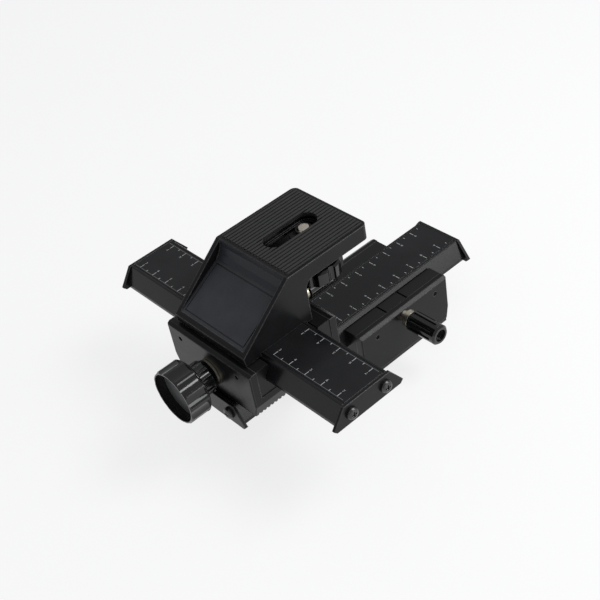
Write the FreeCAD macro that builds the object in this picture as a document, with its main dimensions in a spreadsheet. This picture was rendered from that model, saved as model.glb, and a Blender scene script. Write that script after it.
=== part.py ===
"""Two-way macro focusing rail, in millimetres, +Z up.

Two equal stages lie one on the other at right angles. Each stage is a carriage, a U-shaped casting
with two gibs, and a dovetail rail that slides in it, moved by a rack and pinion with a drive knob and
held by a clamp shoe with a lock knob. The lower carriage is the base with the tripod bushes. The
upper carriage is screwed across the lower rail, and a camera bracket stands on the upper rail.

The origin is the middle of the base's underside. The lower rail runs along Y, the upper one along X.
A stage is modelled in its own frame: its rail along X, its drive side at -Y, its lock side at +Y, and
z = 0 at the carriage's underside.
"""
import FreeCAD, Part
import math
import os
import Sketcher
from FreeCAD import Placement, Rotation, Vector

DIMENSIONS = (
    ("carriage_near", 28.7, "carriage's +X end"),
    ("carriage_far", 30.9, "its -X end"),
    ("carriage_width", 52.4, "across its rail"),
    ("carriage_height", 25.2, ""),
    ("wall", 4.3, "side walls of the carriage"),
    ("channel_floor", 10.1, "height of the channel's floor"),
    ("edge_bevel", 0.6, "bevel on the castings' outer edges"),
    ("top_bevel_run", 1.8, "bevel along the carriage's top"),
    ("top_bevel_drop", 1.1, ""),
    ("end_slant", 2.1, "by which the carriage's ends lean in at the foot"),
    ("end_slant_height", 6.5, ""),
    ("overcut", 1.0, "by which a cut goes past the surface"),
    ("base_depth", 2.7, "by which the lower carriage is deeper than the upper one"),
    ("base_pad_height", 1.6, "rubber under the lower carriage"),
    ("rib_pitch", 2.25, "ribs under both carriages"),
    ("rib_groove", 1.1, "width of the grooves between those ribs"),
    ("rib_depth", 0.9, ""),
    ("rib_margin", 1.5, "plain edge beside them"),
    ("rail_length", 150.0, "without its end plates"),
    ("rail_proud", 2.1, "rail's top above the carriage's top"),
    ("rail_height", 10.2, ""),
    ("rail_top_width", 26.2, ""),
    ("rail_base_width", 34.4, ""),
    ("rail_flange", 1.6, "upright edge at the rail's foot"),
    ("rail_bevel", 0.35, "along the rail's top edges"),
    ("rail_end_bevel", 0.4, "across its ends"),
    ("scale_groove_place", 11.6, "fine groove outside each scale, from the rail's middle"),
    ("scale_groove_width", 0.5, ""),
    ("scale_groove_depth", 0.3, ""),
    ("running_gap", 0.25, "between the rail and its gibs"),
    ("gib_reach", 13.1, "inner edge of the gib's lip, from the rail's middle"),
    ("gib_slot", 0.15, "slot beside the rail in the gib's top, wider than the gap by this"),
    ("gib_slot_depth", 1.2, ""),
    ("end_plate_thickness", 1.5, ""),
    ("end_plate_top_width", 27.2, ""),
    ("end_plate_width", 40.8, "at its shoulders"),
    ("end_plate_height", 10.9, ""),
    ("end_plate_corner", 1.6, "rounding of its lower corners"),
    ("end_screw_place", 10.0, "from the rail's middle"),
    ("end_screw_drop", 5.6, "below the rail's top"),
    ("end_screw_radius", 1.25, "core of the M3 thread"),
    ("end_screw_depth", 5.0, "in the rail's end"),
    ("end_screw_head_radius", 3.0, "pan head"),
    ("end_screw_head_height", 2.0, ""),
    ("end_screw_head_side", 0.9, "height of the head's straight side"),
    ("end_screw_dome_radius", 2.6, ""),
    ("end_screw_dome_height", 1.6, ""),
    ("end_screw_crown_radius", 1.65, ""),
    ("end_screw_cross_length", 3.2, ""),
    ("end_screw_cross_width", 0.7, ""),
    ("end_screw_cross_depth", 1.1, ""),
    ("gear_module", 0.5, "of the rack and pinion"),
    ("gear_root", 1.25, "depth of the teeth below the pitch line, in modules"),
    ("gear_tip", 0.9, "height of the pinion's teeth above it, in modules"),
    ("pressure_angle", 20.0, "in degrees"),
    ("pinion_teeth", 20, ""),
    ("gear_backlash", 0.08, ""),
    ("gear_width", 6.0, ""),
    ("gear_room", 1.3, "round the pinion"),
    ("rack_length", 147.0, ""),
    ("rack_inset", 1.2, "rack's back, let into the rail"),
    ("drive_height", 10.5, "drive shaft above the carriage's underside"),
    ("drive_place", -2.4, "drive shaft from the carriage's middle"),
    ("shaft_radius", 2.5, ""),
    ("bush_radius", 4.0, "outside of the bronze bushes"),
    ("bush_clearance", 0.05, "shaft in bush, in radius"),
    ("boss_start", 6.0, "inner bearing boss, from the rail's middle"),
    ("boss_end", 12.0, ""),
    ("boss_half_length", 5.0, ""),
    ("boss_top", 16.4, ""),
    ("hub_radius", 8.3, "narrow part of the drive knob"),
    ("hub_length", 9.5, ""),
    ("knob_radius", 13.9, "wide part of the drive knob"),
    ("knob_length", 11.3, ""),
    ("knob_bevel_run", 0.7, "bevel round the knob's end"),
    ("knob_bevel_along", 0.9, ""),
    ("knob_rim", 1.3, "rim round the knob's end recess"),
    ("knob_recess", 5.7, ""),
    ("knob_cap_thickness", 0.8, "disc in that recess"),
    ("knob_flutes", 12, ""),
    ("knob_flute_depth", 0.9, ""),
    ("knob_flute_radius", 8.0, ""),
    ("knob_flute_turn", 19.5, "first flute's place round the axis, in degrees"),
    ("knob_rear_ring", 0.8, "plain ring behind the flutes"),
    ("hub_collar", 0.6, "plain collar beside the washer"),
    ("hub_collar_radius", 7.1, ""),
    ("hub_bevel", 1.8, "between the collar and the flutes"),
    ("hub_flute_depth", 0.55, ""),
    ("hub_flute_radius", 3.5, ""),
    ("drive_washer_radius", 6.8, ""),
    ("washer_gap", 0.1, "between a turning piece and the casting"),
    ("washer_thickness", 1.2, ""),
    ("lock_height", 20.9, "lock stud above the carriage's underside"),
    ("stud_radius", 2.0, ""),
    ("lock_washer_radius", 4.5, ""),
    ("lock_washer_length", 5.7, "with its neck"),
    ("lock_washer_bevel", 0.4, ""),
    ("lock_neck_radius", 3.0, "neck beside the casting"),
    ("lock_neck_length", 2.4, ""),
    ("lock_knob_radius", 5.2, ""),
    ("lock_knob_length", 18.0, ""),
    ("lock_knob_flutes", 8, ""),
    ("lock_flute_radius", 0.9, ""),
    ("lock_flute_start", 1.0, "from the washer"),
    ("lock_flute_end", 2.8, "from the knob's end"),
    ("lock_knob_lead", 0.4, "bevel beside the washer"),
    ("lock_knob_bevel", 0.9, ""),
    ("lock_knob_recess_radius", 3.2, ""),
    ("lock_knob_recess", 2.0, ""),
    ("shoe_length", 15.0, "gap in the gib that the clamp shoe fills"),
    ("shoe_gap", 0.9, "at the clamp shoe's ends"),
    ("shoe_travel", 0.3, "room behind the clamp shoe"),
    ("stud_gap", 0.05, "between the stud's tip and the clamp shoe"),
    ("shaft_end_gap", 0.2, "shaft's end within its bush"),
    ("bush_room", 0.2, "round the bush, in the gib"),
    ("gib_screw_near", 18.4, "towards the carriage's +X end, from its middle"),
    ("gib_screw_far", 22.0, "towards its -X end"),
    ("gib_screw_height", 19.6, ""),
    ("gib_screw_radius", 1.25, ""),
    ("gib_screw_length", 7.0, ""),
    ("gib_screw_recess", 0.8, "its end below the wall's outside"),
    ("gib_socket_radius", 0.7, ""),
    ("gib_socket_depth", 1.5, ""),
    ("bush_place", 16.0, "tripod bushes from the carriage's middle"),
    ("tripod_bush_radius", 5.4, ""),
    ("tripod_bush_length", 8.0, ""),
    ("small_socket_radius", 2.6, "core of the 1/4 inch thread"),
    ("large_socket_radius", 4.0, "core of the 3/8 inch thread"),
    ("cap_screw_radius", 1.5, "M3 cap screws"),
    ("cap_head_radius", 2.75, ""),
    ("cap_head_height", 3.0, ""),
    ("cap_socket_radius", 1.25, ""),
    ("cap_socket_depth", 1.5, ""),
    ("cap_screw_grip", 6.0, "in the rail below"),
    ("tapped_hole_spare", 0.5, "depth below a screw's end"),
    ("mount_screw_along", 9.6, "cross mounting screws, from the carriage's middle"),
    ("mount_screw_across", 8.5, ""),
    ("mount_seat", 5.0, "seat of their heads"),
    ("seat_clearance", 0.1, "round their heads"),
    ("cross_place", 69.0, "upper carriage in front of the base's middle"),
    ("lower_rail_place", 21.6, "middle of the lower rail in front of the base's middle"),
    ("upper_rail_place", -1.7, "middle of the upper rail from the carriage's middle"),
    ("bracket_width", 49.2, "camera bracket"),
    ("bracket_wall", 2.6, ""),
    ("bracket_top", 55.5, "heights from the upper carriage's underside"),
    ("bracket_underside", 47.7, "of the platform's skirt"),
    ("bracket_ceiling", 50.7, "inside"),
    ("bracket_foot", 25.9, ""),
    ("bracket_front", -23.0, "front edge, from the rail's middle"),
    ("bracket_front_height", 30.3, ""),
    ("bracket_front_lean", 0.6, "front's foot behind its edge"),
    ("bracket_brow", 8.1, "where the slope meets the top"),
    ("bracket_rear", 17.0, "rear edges of the cheeks"),
    ("bracket_back", 56.7, "rear edge of the platform"),
    ("bracket_floor_end", 5.5, ""),
    ("bracket_arch", 4.5, "rounding under the platform"),
    ("bracket_corner", 3.0, "rounding of the platform's rear corners"),
    ("bracket_side_foot", 27.4, "lower edge of the left side behind the cheek"),
    ("slope_panel", 10.5, "thickness of the sloping panel, measured level"),
    ("rail_seat_half", 13.65, "notch that sits over the rail's top"),
    ("bracket_screw_along", 12.0, ""),
    ("bracket_screw_across", -5.0, ""),
    ("label_cheek", 2.4, "cheeks beside the label plate"),
    ("tray_start", 2.0, "tray for the plate, up the slope from its front edge"),
    ("tray_end", 31.0, ""),
    ("tray_depth", 4.4, "at its upper end"),
    ("brow_foot", 34.0, "upper wall of the tray, up the slope"),
    ("brow_foot_depth", 3.9, ""),
    ("brow_middle", 37.5, ""),
    ("brow_middle_depth", 2.3, ""),
    ("brow_end", 39.7, ""),
    ("label_thickness", 0.8, ""),
    ("label_frame", 1.3, "from the plate's edge to its groove"),
    ("label_groove", 0.6, ""),
    ("label_groove_depth", 0.6, ""),
    ("pad_border", 1.8, "bare edge round the rubber pad"),
    ("pad_thickness", 1.6, ""),
    ("pad_inset", 1.0, "let into the platform"),
    ("pad_rib_pitch", 2.08, ""),
    ("pad_rib_groove", 0.9, ""),
    ("pad_rib_depth", 0.8, ""),
    ("slot_middle", 31.8, "from the rail's middle"),
    ("slot_width", 11.0, "upper, wide part"),
    ("slot_length", 30.0, ""),
    ("slot_step", 3.2, "depth of the wide part in the casting"),
    ("guide_slot_width", 8.4, "lower, narrow part"),
    ("guide_slot_length", 27.0, ""),
    ("guide_radius", 4.1, "nylon guide of the camera screw"),
    ("guide_flange_radius", 7.5, ""),
    ("guide_flange", 1.2, ""),
    ("screw_place", 39.5, "camera screw, from the rail's middle"),
    ("screw_radius", 3.175, "1/4 inch camera thread"),
    ("screw_tip", 53.1, ""),
    ("screw_bevel", 0.6, ""),
    ("screw_clearance", 0.075, "screw in its guide, in radius"),
    ("wheel_radius", 15.5, "thumb wheel"),
    ("wheel_underside", 28.1, ""),
    ("wheel_height", 8.0, ""),
    ("wheel_bevel", 1.0, ""),
    ("wheel_floor", 1.0, "below the screw's end"),
    ("wheel_lobes", 10, ""),
    ("wheel_notch_radius", 2.6, ""),
    ("wheel_notch_place", 16.5, "from the axis"),
    ("wheel_hub_radius", 7.0, ""),
    ("wheel_hub_height", 4.4, ""),
    ("thrust_washer_radius", 6.0, ""),
    ("thrust_washer_thickness", 0.8, ""),
)

doc = FreeCAD.newDocument("macro_focusing_rail")
sheet = doc.addObject("Spreadsheet::Sheet", "dims")
for row, (alias, number, note) in enumerate(DIMENSIONS, start=1):
    sheet.set(f"A{row}", alias)
    sheet.set(f"B{row}", str(number))
    sheet.set(f"C{row}", note)
    sheet.setAlias(f"B{row}", alias)
doc.recompute()

# Lengths worked out from the sheet, as expressions.
LENGTH = "(dims.carriage_near + dims.carriage_far)"
HALF_WIDTH = "dims.carriage_width / 2"
CHANNEL = "(dims.carriage_width / 2 - dims.wall)"
TOP = "dims.carriage_height"
FLOOR = "dims.channel_floor"
RAIL_TOP = "(dims.carriage_height + dims.rail_proud)"
RAIL_FOOT = "(dims.carriage_height + dims.rail_proud - dims.rail_height)"
RAIL_END = "(dims.rail_length / 2)"
PITCH_RADIUS = "(dims.gear_module * dims.pinion_teeth / 2)"
PITCH_LINE = f"(dims.drive_height + {PITCH_RADIUS})"
SLOPE = "((dims.rail_base_width - dims.rail_top_width) / 2" \
        " / (dims.rail_height - dims.rail_flange - dims.rail_bevel))"
RAIL_SIDE_AT_TOP = f"(dims.rail_top_width / 2 + (dims.rail_proud - dims.rail_bevel) * {SLOPE})"
DRIVE_FACE = f"({HALF_WIDTH} + dims.washer_gap + dims.washer_thickness)"
LOCK_FACE = f"({HALF_WIDTH} + dims.washer_gap + dims.lock_washer_length)"
BRACKET_HALF = "dims.bracket_width / 2"
CAVITY_HALF = "(dims.bracket_width / 2 - dims.bracket_wall)"
TRAY_HALF = "(dims.bracket_width / 2 - dims.label_cheek)"
LABEL_END = "sqrt((dims.tray_end - dims.tray_start) * (dims.tray_end - dims.tray_start)" \
            " + dims.tray_depth * dims.tray_depth)"
PAD_TOP = "(dims.bracket_top - dims.pad_inset + dims.pad_thickness)"
PAST_BOTH = "2 * dims.overcut"

FLANK_POINTS = 5        # points on one flank of a pinion tooth


def value(expression):
    """Number that an expression of the sheet's dimensions stands for."""
    return float(sheet.evalExpression(expression))


# ---------------------------------------------------------------- places

ALONG_Y = Rotation(Vector(0, 0, 1), -90)
SOLE = Placement(Vector(), ALONG_Y)                 # frame on the base's underside
STAGE = {
    "lower": Placement(Vector(0, 0, value("dims.base_depth")), ALONG_Y),
    "upper": Placement(Vector(0, -value("dims.cross_place"), value(f"{RAIL_TOP} + dims.base_depth")),
                       Rotation()),
}
RAIL_PLACE = {
    "lower": value("dims.lower_rail_place"),
    "upper": value("dims.upper_rail_place"),
}
TOWARDS_DRIVE = Rotation(Vector(1, 0, 0), 90)      # turns +Z to -Y
TOWARDS_LOCK = Rotation(Vector(1, 0, 0), -90)      # turns +Z to +Y


def at(along=0.0, across=0.0, height=0.0, rotation=Rotation()):
    """Placement in a stage's own frame."""
    return Placement(Vector(along, across, height), rotation)


def on_rail(stage):
    """Frame of the stage's rail: the stage's frame, moved to the rail's middle."""
    return STAGE[stage].multiply(at(along=RAIL_PLACE[stage]))


def drive_axis(stage):
    """Frame on the drive shaft: +Z outwards, z = 0 at the rail's middle."""
    axis = at(value("dims.drive_place"), 0, value("dims.drive_height"), TOWARDS_DRIVE)
    return STAGE[stage].multiply(axis)


def lock_axis(stage):
    """Frame on the lock stud: +Z outwards, z = 0 at the rail's middle."""
    return STAGE[stage].multiply(at(height=value("dims.lock_height"), rotation=TOWARDS_LOCK))


# ---------------------------------------------------------------- modelling helpers

nodes = []


def node(piece, label, placement):
    """Make an object one of the part's named pieces."""
    piece.Label = label
    piece.Placement = placement
    nodes.append(piece)
    return piece


def new_body():
    return doc.addObject("PartDesign::Body", "Body")


def move_sketch(sketch, place):
    """Attach a sketch at a place of its own instead of an offset along its plane's normal."""
    sketch.setExpression(".AttachmentOffset.Base.z", None)
    sketch.AttachmentOffset = place


def datum(body, role):
    """One of the body's own origin planes or axes."""
    return next(item for item in body.Origin.OriginFeatures if item.Role == role)


def new_sketch(body, role, offset):
    """Sketch on an origin plane, moved along its normal. XY faces +Z, XZ faces -Y, YZ faces +X."""
    sketch = body.newObject("Sketcher::SketchObject", "Sketch")
    sketch.AttachmentSupport = (datum(body, role), [""])
    sketch.MapMode = "FlatFace"
    sketch.setExpression(".AttachmentOffset.Base.z", offset)
    return sketch


def bind(sketch, kind, geometry, expression, point=None):
    """Drive a size or a point's coordinate by an expression."""
    if point is None:
        constraint = Sketcher.Constraint(kind, geometry, value(expression))
    else:
        constraint = Sketcher.Constraint(kind, -1, 1, geometry, point, value(expression))
    index = sketch.addConstraint(constraint)
    sketch.setExpression(f"Constraints[{index}]", expression)


def outline(body, role, corners, offset="0"):
    """Sketch of a closed outline with straight sides, its corners given as expressions."""
    sketch = new_sketch(body, role, offset)
    points = [Vector(value(x), value(y), 0) for x, y in corners]
    count = len(points)
    for index, point in enumerate(points):
        sketch.addGeometry(Part.LineSegment(point, points[(index + 1) % count]), False)
    for index, (x, y) in enumerate(corners):
        sketch.addConstraint(Sketcher.Constraint("Coincident", index, 2, (index + 1) % count, 1))
        bind(sketch, "DistanceX", index, x, point=1)
        bind(sketch, "DistanceY", index, y, point=1)
    return sketch


def rectangle(body, role, left, bottom, right, top, offset="0"):
    corners = [(left, bottom), (right, bottom), (right, top), (left, top)]
    return outline(body, role, corners, offset)


def circles(body, role, rounds, offset="0"):
    """Sketch of circles, each given as expressions for its centre and radius."""
    sketch = new_sketch(body, role, offset)
    for index, (x, y, radius) in enumerate(rounds):
        centre = Vector(value(x), value(y), 0)
        circle = Part.Circle(centre, Vector(0, 0, 1), value(radius))
        sketch.addGeometry(circle, False)
        bind(sketch, "DistanceX", index, x, point=3)
        bind(sketch, "DistanceY", index, y, point=3)
        bind(sketch, "Radius", index, radius)
    return sketch


def slot_outline(body, middle, width, length, offset="0"):
    """Sketch on the XY plane of a round-ended slot along Y."""
    sketch = new_sketch(body, "XY_Plane", offset)
    radius = value(width) / 2
    near = value(f"{middle} - {length} / 2 + {width} / 2")
    far = value(f"{middle} + {length} / 2 - {width} / 2")
    up = Vector(0, 0, 1)
    far_round = Part.ArcOfCircle(Part.Circle(Vector(0, far, 0), up, radius), 0, math.pi)
    near_round = Part.ArcOfCircle(Part.Circle(Vector(0, near, 0), up, radius), math.pi, 2 * math.pi)
    sketch.addGeometry(far_round, False)
    sketch.addGeometry(Part.LineSegment(Vector(-radius, far, 0), Vector(-radius, near, 0)), False)
    sketch.addGeometry(near_round, False)
    sketch.addGeometry(Part.LineSegment(Vector(radius, near, 0), Vector(radius, far, 0)), False)
    for index in range(4):
        sketch.addConstraint(Sketcher.Constraint("Tangent", index, 2, (index + 1) % 4, 1))
    for arc, place in ((0, f"{middle} + {length} / 2 - {width} / 2"),
                       (2, f"{middle} - {length} / 2 + {width} / 2")):
        sketch.addConstraint(Sketcher.Constraint("PointOnObject", arc, 3, -2))
        bind(sketch, "DistanceY", arc, place, point=3)
    bind(sketch, "Radius", 0, f"{width} / 2")
    return sketch


def pad(body, sketch, length, symmetric=False, reverse=False):
    """Add material along the sketch's normal."""
    feature = body.newObject("PartDesign::Pad", "Pad")
    feature.Profile = sketch
    feature.setExpression("Length", length)
    feature.SideType = "Symmetric" if symmetric else "One side"
    feature.Reversed = reverse
    doc.recompute()
    return feature


def pocket(body, sketch, length, symmetric=False, reverse=False):
    """Cut material against the sketch's normal, and make sure that something was cut."""
    before = body.Shape.Volume
    feature = body.newObject("PartDesign::Pocket", "Pocket")
    feature.Profile = sketch
    feature.setExpression("Length", length)
    feature.SideType = "Symmetric" if symmetric else "One side"
    feature.Reversed = reverse
    doc.recompute()
    if not feature.Shape.Volume < before:
        raise RuntimeError(f"a pocket of {body.Label} cuts nothing")
    return feature


def revolve(body, corners):
    """Turned solid about Z, from an outline in the XZ plane."""
    sketch = outline(body, "XZ_Plane", corners)
    feature = body.newObject("PartDesign::Revolution", "Revolution")
    feature.Profile = sketch
    feature.ReferenceAxis = (sketch, ["V_Axis"])
    feature.Angle = 360
    doc.recompute()
    return feature


def polar(body, feature, count):
    """Repeat a feature round Z."""
    pattern = body.newObject("PartDesign::PolarPattern", "PolarPattern")
    pattern.Originals = [feature]
    pattern.Axis = (datum(body, "Z_Axis"), [""])
    pattern.Angle = 360
    pattern.setExpression("Occurrences", count)
    body.Tip = pattern
    doc.recompute()


def linear(body, feature, axis, pitch, count):
    """Repeat a feature along an axis, count times in all."""
    pattern = body.newObject("PartDesign::LinearPattern", "LinearPattern")
    pattern.Originals = [feature]
    pattern.Direction = (datum(body, axis), [""])
    pattern.setExpression("Length", f"{pitch} * ({count} - 1)")
    pattern.setExpression("Occurrences", count)
    body.Tip = pattern
    doc.recompute()


def soften(body, kind, size, chosen):
    """Chamfer or fillet the edges whose middle point and direction pass the test."""
    names = []
    for index, edge in enumerate(body.Shape.Edges, start=1):
        if not isinstance(edge.Curve, Part.Line):
            continue
        middle = edge.valueAt((edge.FirstParameter + edge.LastParameter) / 2)
        run = edge.Vertexes[1].Point.sub(edge.Vertexes[0].Point)
        if chosen(middle, run.normalize()):
            names.append(f"Edge{index}")
    base = body.Tip
    feature = body.newObject(f"PartDesign::{kind}", kind)
    feature.Base = (base, names)
    feature.setExpression("Size" if kind == "Chamfer" else "Radius", size)
    body.Tip = feature
    doc.recompute()


def near(number, target):
    return abs(number - target) < 0.01


def copies(label, template, places):
    """One node of equal pieces: links to a template at each place."""
    links = []
    for place in places:
        link = doc.addObject("App::Link", "Link")
        link.LinkedObject = template
        link.Placement = place
        links.append(link)
    group = doc.addObject("Part::Compound", "Group")
    group.Links = links
    doc.recompute()
    return node(group, label, Placement())


def ring(body, inner, outer, start, length):
    """Add a ring round Z to the body, from the height start."""
    sketch = circles(body, "XY_Plane", [("0", "0", outer), ("0", "0", inner)], start)
    return pad(body, sketch, length)


def groove_count(width, pitch, groove):
    """Number of grooves that fit in a width, given as expressions."""
    return int(value(f"({width} - {groove}) / {pitch}")) + 1


def rib_grooves(body):
    """Cut grooves along X into the body's underside."""
    count = groove_count("(dims.carriage_width - 2 * dims.rib_margin)", "dims.rib_pitch", "dims.rib_groove")
    first = f"(-dims.rib_pitch * ({count} - 1) / 2)"
    groove = rectangle(body, "YZ_Plane", f"{first} - dims.rib_groove / 2", "-dims.overcut",
                       f"{first} + dims.rib_groove / 2", "dims.rib_depth")
    cut = pocket(body, groove, f"2 * dims.carriage_far + {PAST_BOTH}", symmetric=True)
    linear(body, cut, "Y_Axis", "dims.rib_pitch", str(count))


# ---------------------------------------------------------------- carriages

def carriage(stage):
    """U-shaped casting: channel for the rail, pinion pocket, bearing boss and screw holes."""
    body = new_body()
    underside = "(-dims.base_depth)" if stage == "lower" else "0"
    foot = f"({underside} + dims.base_pad_height)" if stage == "lower" else underside
    bevel_foot = f"({TOP} - dims.top_bevel_drop)"
    wall_top = f"({HALF_WIDTH} - dims.top_bevel_run)"
    section = outline(body, "YZ_Plane", [
        (f"-{HALF_WIDTH}", foot), (HALF_WIDTH, foot), (HALF_WIDTH, bevel_foot), (wall_top, TOP),
        (CHANNEL, TOP), (CHANNEL, FLOOR), (f"-{CHANNEL}", FLOOR), (f"-{CHANNEL}", TOP),
        (f"-{wall_top}", TOP), (f"-{HALF_WIDTH}", bevel_foot)], "-dims.carriage_far")
    pad(body, section, LENGTH)
    for side, end in (("", "dims.carriage_near"), ("-", "dims.carriage_far")):
        slant = outline(body, "XZ_Plane", [
            (f"{side}({end} - dims.end_slant)", underside),
            (f"{side}({end} + dims.overcut)", underside),
            (f"{side}({end} + dims.overcut)", "dims.end_slant_height"),
            (f"{side}{end}", "dims.end_slant_height")])
        pocket(body, slant, f"dims.carriage_width + {PAST_BOTH}", symmetric=True)
    half_width, top_edge = value(HALF_WIDTH), value(bevel_foot)
    soften(body, "Chamfer", "dims.edge_bevel",
           lambda middle, run: near(abs(middle.y), half_width) and not near(middle.z, top_edge))

    boss_left = "dims.drive_place - dims.boss_half_length"
    boss_right = "dims.drive_place + dims.boss_half_length"
    boss = rectangle(body, "XY_Plane", boss_left, "dims.boss_start", boss_right, "dims.boss_end",
                     f"{FLOOR} - dims.overcut")
    pad(body, boss, f"dims.boss_top - {FLOOR} + dims.overcut")
    gear_room = f"({PITCH_RADIUS} + dims.gear_room)"
    half_well = "(dims.gear_width / 2 + dims.gear_room)"
    well = rectangle(body, "XY_Plane", f"dims.drive_place - {gear_room}", f"-{half_well}",
                     f"dims.drive_place + {gear_room}", half_well, FLOOR)
    pocket(body, well, f"{FLOOR} - dims.drive_height + {gear_room}")
    shaft_hole = circles(body, "XZ_Plane", [("dims.drive_place", "dims.drive_height", "dims.bush_radius")],
                         HALF_WIDTH)
    pocket(body, shaft_hole, f"{HALF_WIDTH} + dims.boss_end")
    stud_hole = circles(body, "XZ_Plane",
                        [("0", "dims.lock_height", "dims.stud_radius + dims.bush_clearance")],
                        f"-{HALF_WIDTH} + dims.wall / 2")
    pocket(body, stud_hole, f"dims.wall + {PAST_BOTH}", symmetric=True)
    gib_holes = circles(body, "XZ_Plane", [
        (place, "dims.gib_screw_height", "dims.gib_screw_radius")
        for place in ("dims.gib_screw_near", "-dims.gib_screw_far")])
    pocket(body, gib_holes, f"dims.carriage_width + {PAST_BOTH}", symmetric=True)

    if stage == "lower":
        bush_holes = circles(body, "XY_Plane", [
            (place, "0", "dims.tripod_bush_radius")
            for place in ("dims.bush_place", "-dims.bush_place")], underside)
        pocket(body, bush_holes, "dims.tripod_bush_length", reverse=True)
    else:
        corners = [(f"{x}dims.mount_screw_along", f"{y}dims.mount_screw_across")
                   for x in ("", "-") for y in ("", "-")]
        seats = circles(body, "XY_Plane", [
            (x, y, "dims.cap_head_radius + dims.seat_clearance") for x, y in corners], "dims.boss_top")
        pocket(body, seats, "dims.boss_top - dims.mount_seat")
        holes = circles(body, "XY_Plane", [(x, y, "dims.cap_screw_radius") for x, y in corners], FLOOR)
        pocket(body, holes, f"{FLOOR} + dims.overcut")
        rib_grooves(body)
    node(body, f"{stage}_carriage", STAGE[stage])


def base_pad():
    """Ribbed rubber sole of the lower carriage, with openings for the tripod bushes."""
    body = new_body()
    side = f"({HALF_WIDTH} - dims.edge_bevel)"
    sheet_outline = rectangle(body, "XY_Plane", "-(dims.carriage_far - dims.end_slant)", f"-{side}",
                              "dims.carriage_near - dims.end_slant", side)
    pad(body, sheet_outline, "dims.base_pad_height")
    holes = circles(body, "XY_Plane", [(place, "0", "dims.tripod_bush_radius")
                                       for place in ("dims.bush_place", "-dims.bush_place")])
    pocket(body, holes, "dims.base_pad_height", reverse=True)
    rib_grooves(body)
    node(body, "base_pad", SOLE)


def gib_section(side, back, gap, foot):
    """Corners of a gib in the YZ plane: a lip under the rail and a flank beside its dovetail.

    side is "-" or "", back the distance of its outer face, gap the room to the rail.
    """
    flange_top = f"{RAIL_FOOT} + dims.rail_flange + {gap} / 2"
    foot_side = f"(dims.rail_base_width / 2 + {gap})"
    slot_foot = f"({TOP} - dims.gib_slot_depth)"
    slot_inside = f"({RAIL_SIDE_AT_TOP} + {gap} + dims.gib_slot_depth * {SLOPE})"
    slot_outside = f"({slot_inside} + dims.gib_slot)"
    return [(f"{side}{back}", foot), (f"{side}dims.gib_reach", foot),
            (f"{side}dims.gib_reach", f"{RAIL_FOOT} - dims.running_gap"),
            (f"{side}{foot_side}", f"{RAIL_FOOT} - dims.running_gap"),
            (f"{side}{foot_side}", flange_top), (f"{side}{slot_inside}", slot_foot),
            (f"{side}{slot_outside}", slot_foot), (f"{side}{slot_outside}", TOP),
            (f"{side}{back}", TOP)]


def gibs(stage):
    """Plain gib on the drive side, and the two pieces of the gib on the lock side."""
    screw_holes = [(place, "dims.gib_screw_height", "dims.gib_screw_radius")
                   for place in ("dims.gib_screw_near", "-dims.gib_screw_far")]
    plain = new_body()
    inset = "dims.edge_bevel / 2"
    section = outline(plain, "YZ_Plane", gib_section("-", CHANNEL, "dims.running_gap", FLOOR),
                      f"-dims.carriage_far + {inset}")
    pad(plain, section, f"{LENGTH} - 2 * {inset}")
    shaft_room = circles(plain, "XZ_Plane",
                         [("dims.drive_place", "dims.drive_height", "dims.bush_radius + dims.bush_room")])
    pocket(plain, shaft_room, "dims.carriage_width", symmetric=True)
    pocket(plain, circles(plain, "XZ_Plane", screw_holes), "dims.carriage_width", symmetric=True)
    node(plain, f"{stage}_gib_plain", STAGE[stage])

    split = new_body()
    for side, end in (("", "dims.carriage_near"), ("-", "dims.carriage_far")):
        section = outline(split, "YZ_Plane", gib_section("", CHANNEL, "dims.running_gap", FLOOR),
                          f"{side}dims.shoe_length / 2")
        pad(split, section, f"{end} - dims.shoe_length / 2 - {inset}", reverse=side == "-")
    pocket(split, circles(split, "XZ_Plane", screw_holes), "dims.carriage_width", symmetric=True)
    node(split, f"{stage}_gib_lock", STAGE[stage])


def clamp_shoe(stage):
    """Middle piece of the lock side's gib, pressed on the rail by the lock stud."""
    body = new_body()
    section = outline(body, "YZ_Plane", gib_section(
        "", f"({CHANNEL} - dims.shoe_travel)", "dims.running_gap", f"{FLOOR} + dims.washer_gap"))
    pad(body, section, "dims.shoe_length - 2 * dims.shoe_gap", symmetric=True)
    node(body, f"{stage}_clamp_shoe", STAGE[stage])


def gib_screws(stage, template):
    """Four set screws in the walls."""
    depth = value(f"{HALF_WIDTH} - dims.gib_screw_recess - dims.gib_screw_length")
    places = []
    for side, turn in ((-1, TOWARDS_DRIVE), (1, TOWARDS_LOCK)):
        for along in ("dims.gib_screw_near", "-dims.gib_screw_far"):
            place = at(value(along), side * depth, value("dims.gib_screw_height"), turn)
            places.append(STAGE[stage].multiply(place))
    copies(f"{stage}_gib_screws", template, places)


def drive_bushes(stage):
    """Bronze bushes: one in the drive side's wall, one in the inner boss."""
    body = new_body()
    inner = "dims.shaft_radius + dims.bush_clearance"
    ring(body, inner, "dims.bush_radius", CHANNEL, "dims.wall")
    ring(body, inner, "dims.bush_radius", "-dims.boss_end", "dims.boss_end - dims.boss_start")
    node(body, f"{stage}_drive_bushes", drive_axis(stage))


def tripod_bush(label, place, socket):
    """Threaded brass insert in the base."""
    body = new_body()
    ring(body, socket, "dims.tripod_bush_radius", "0", "dims.tripod_bush_length")
    node(body, label, SOLE.multiply(at(along=value(place))))


# ---------------------------------------------------------------- rails

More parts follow.
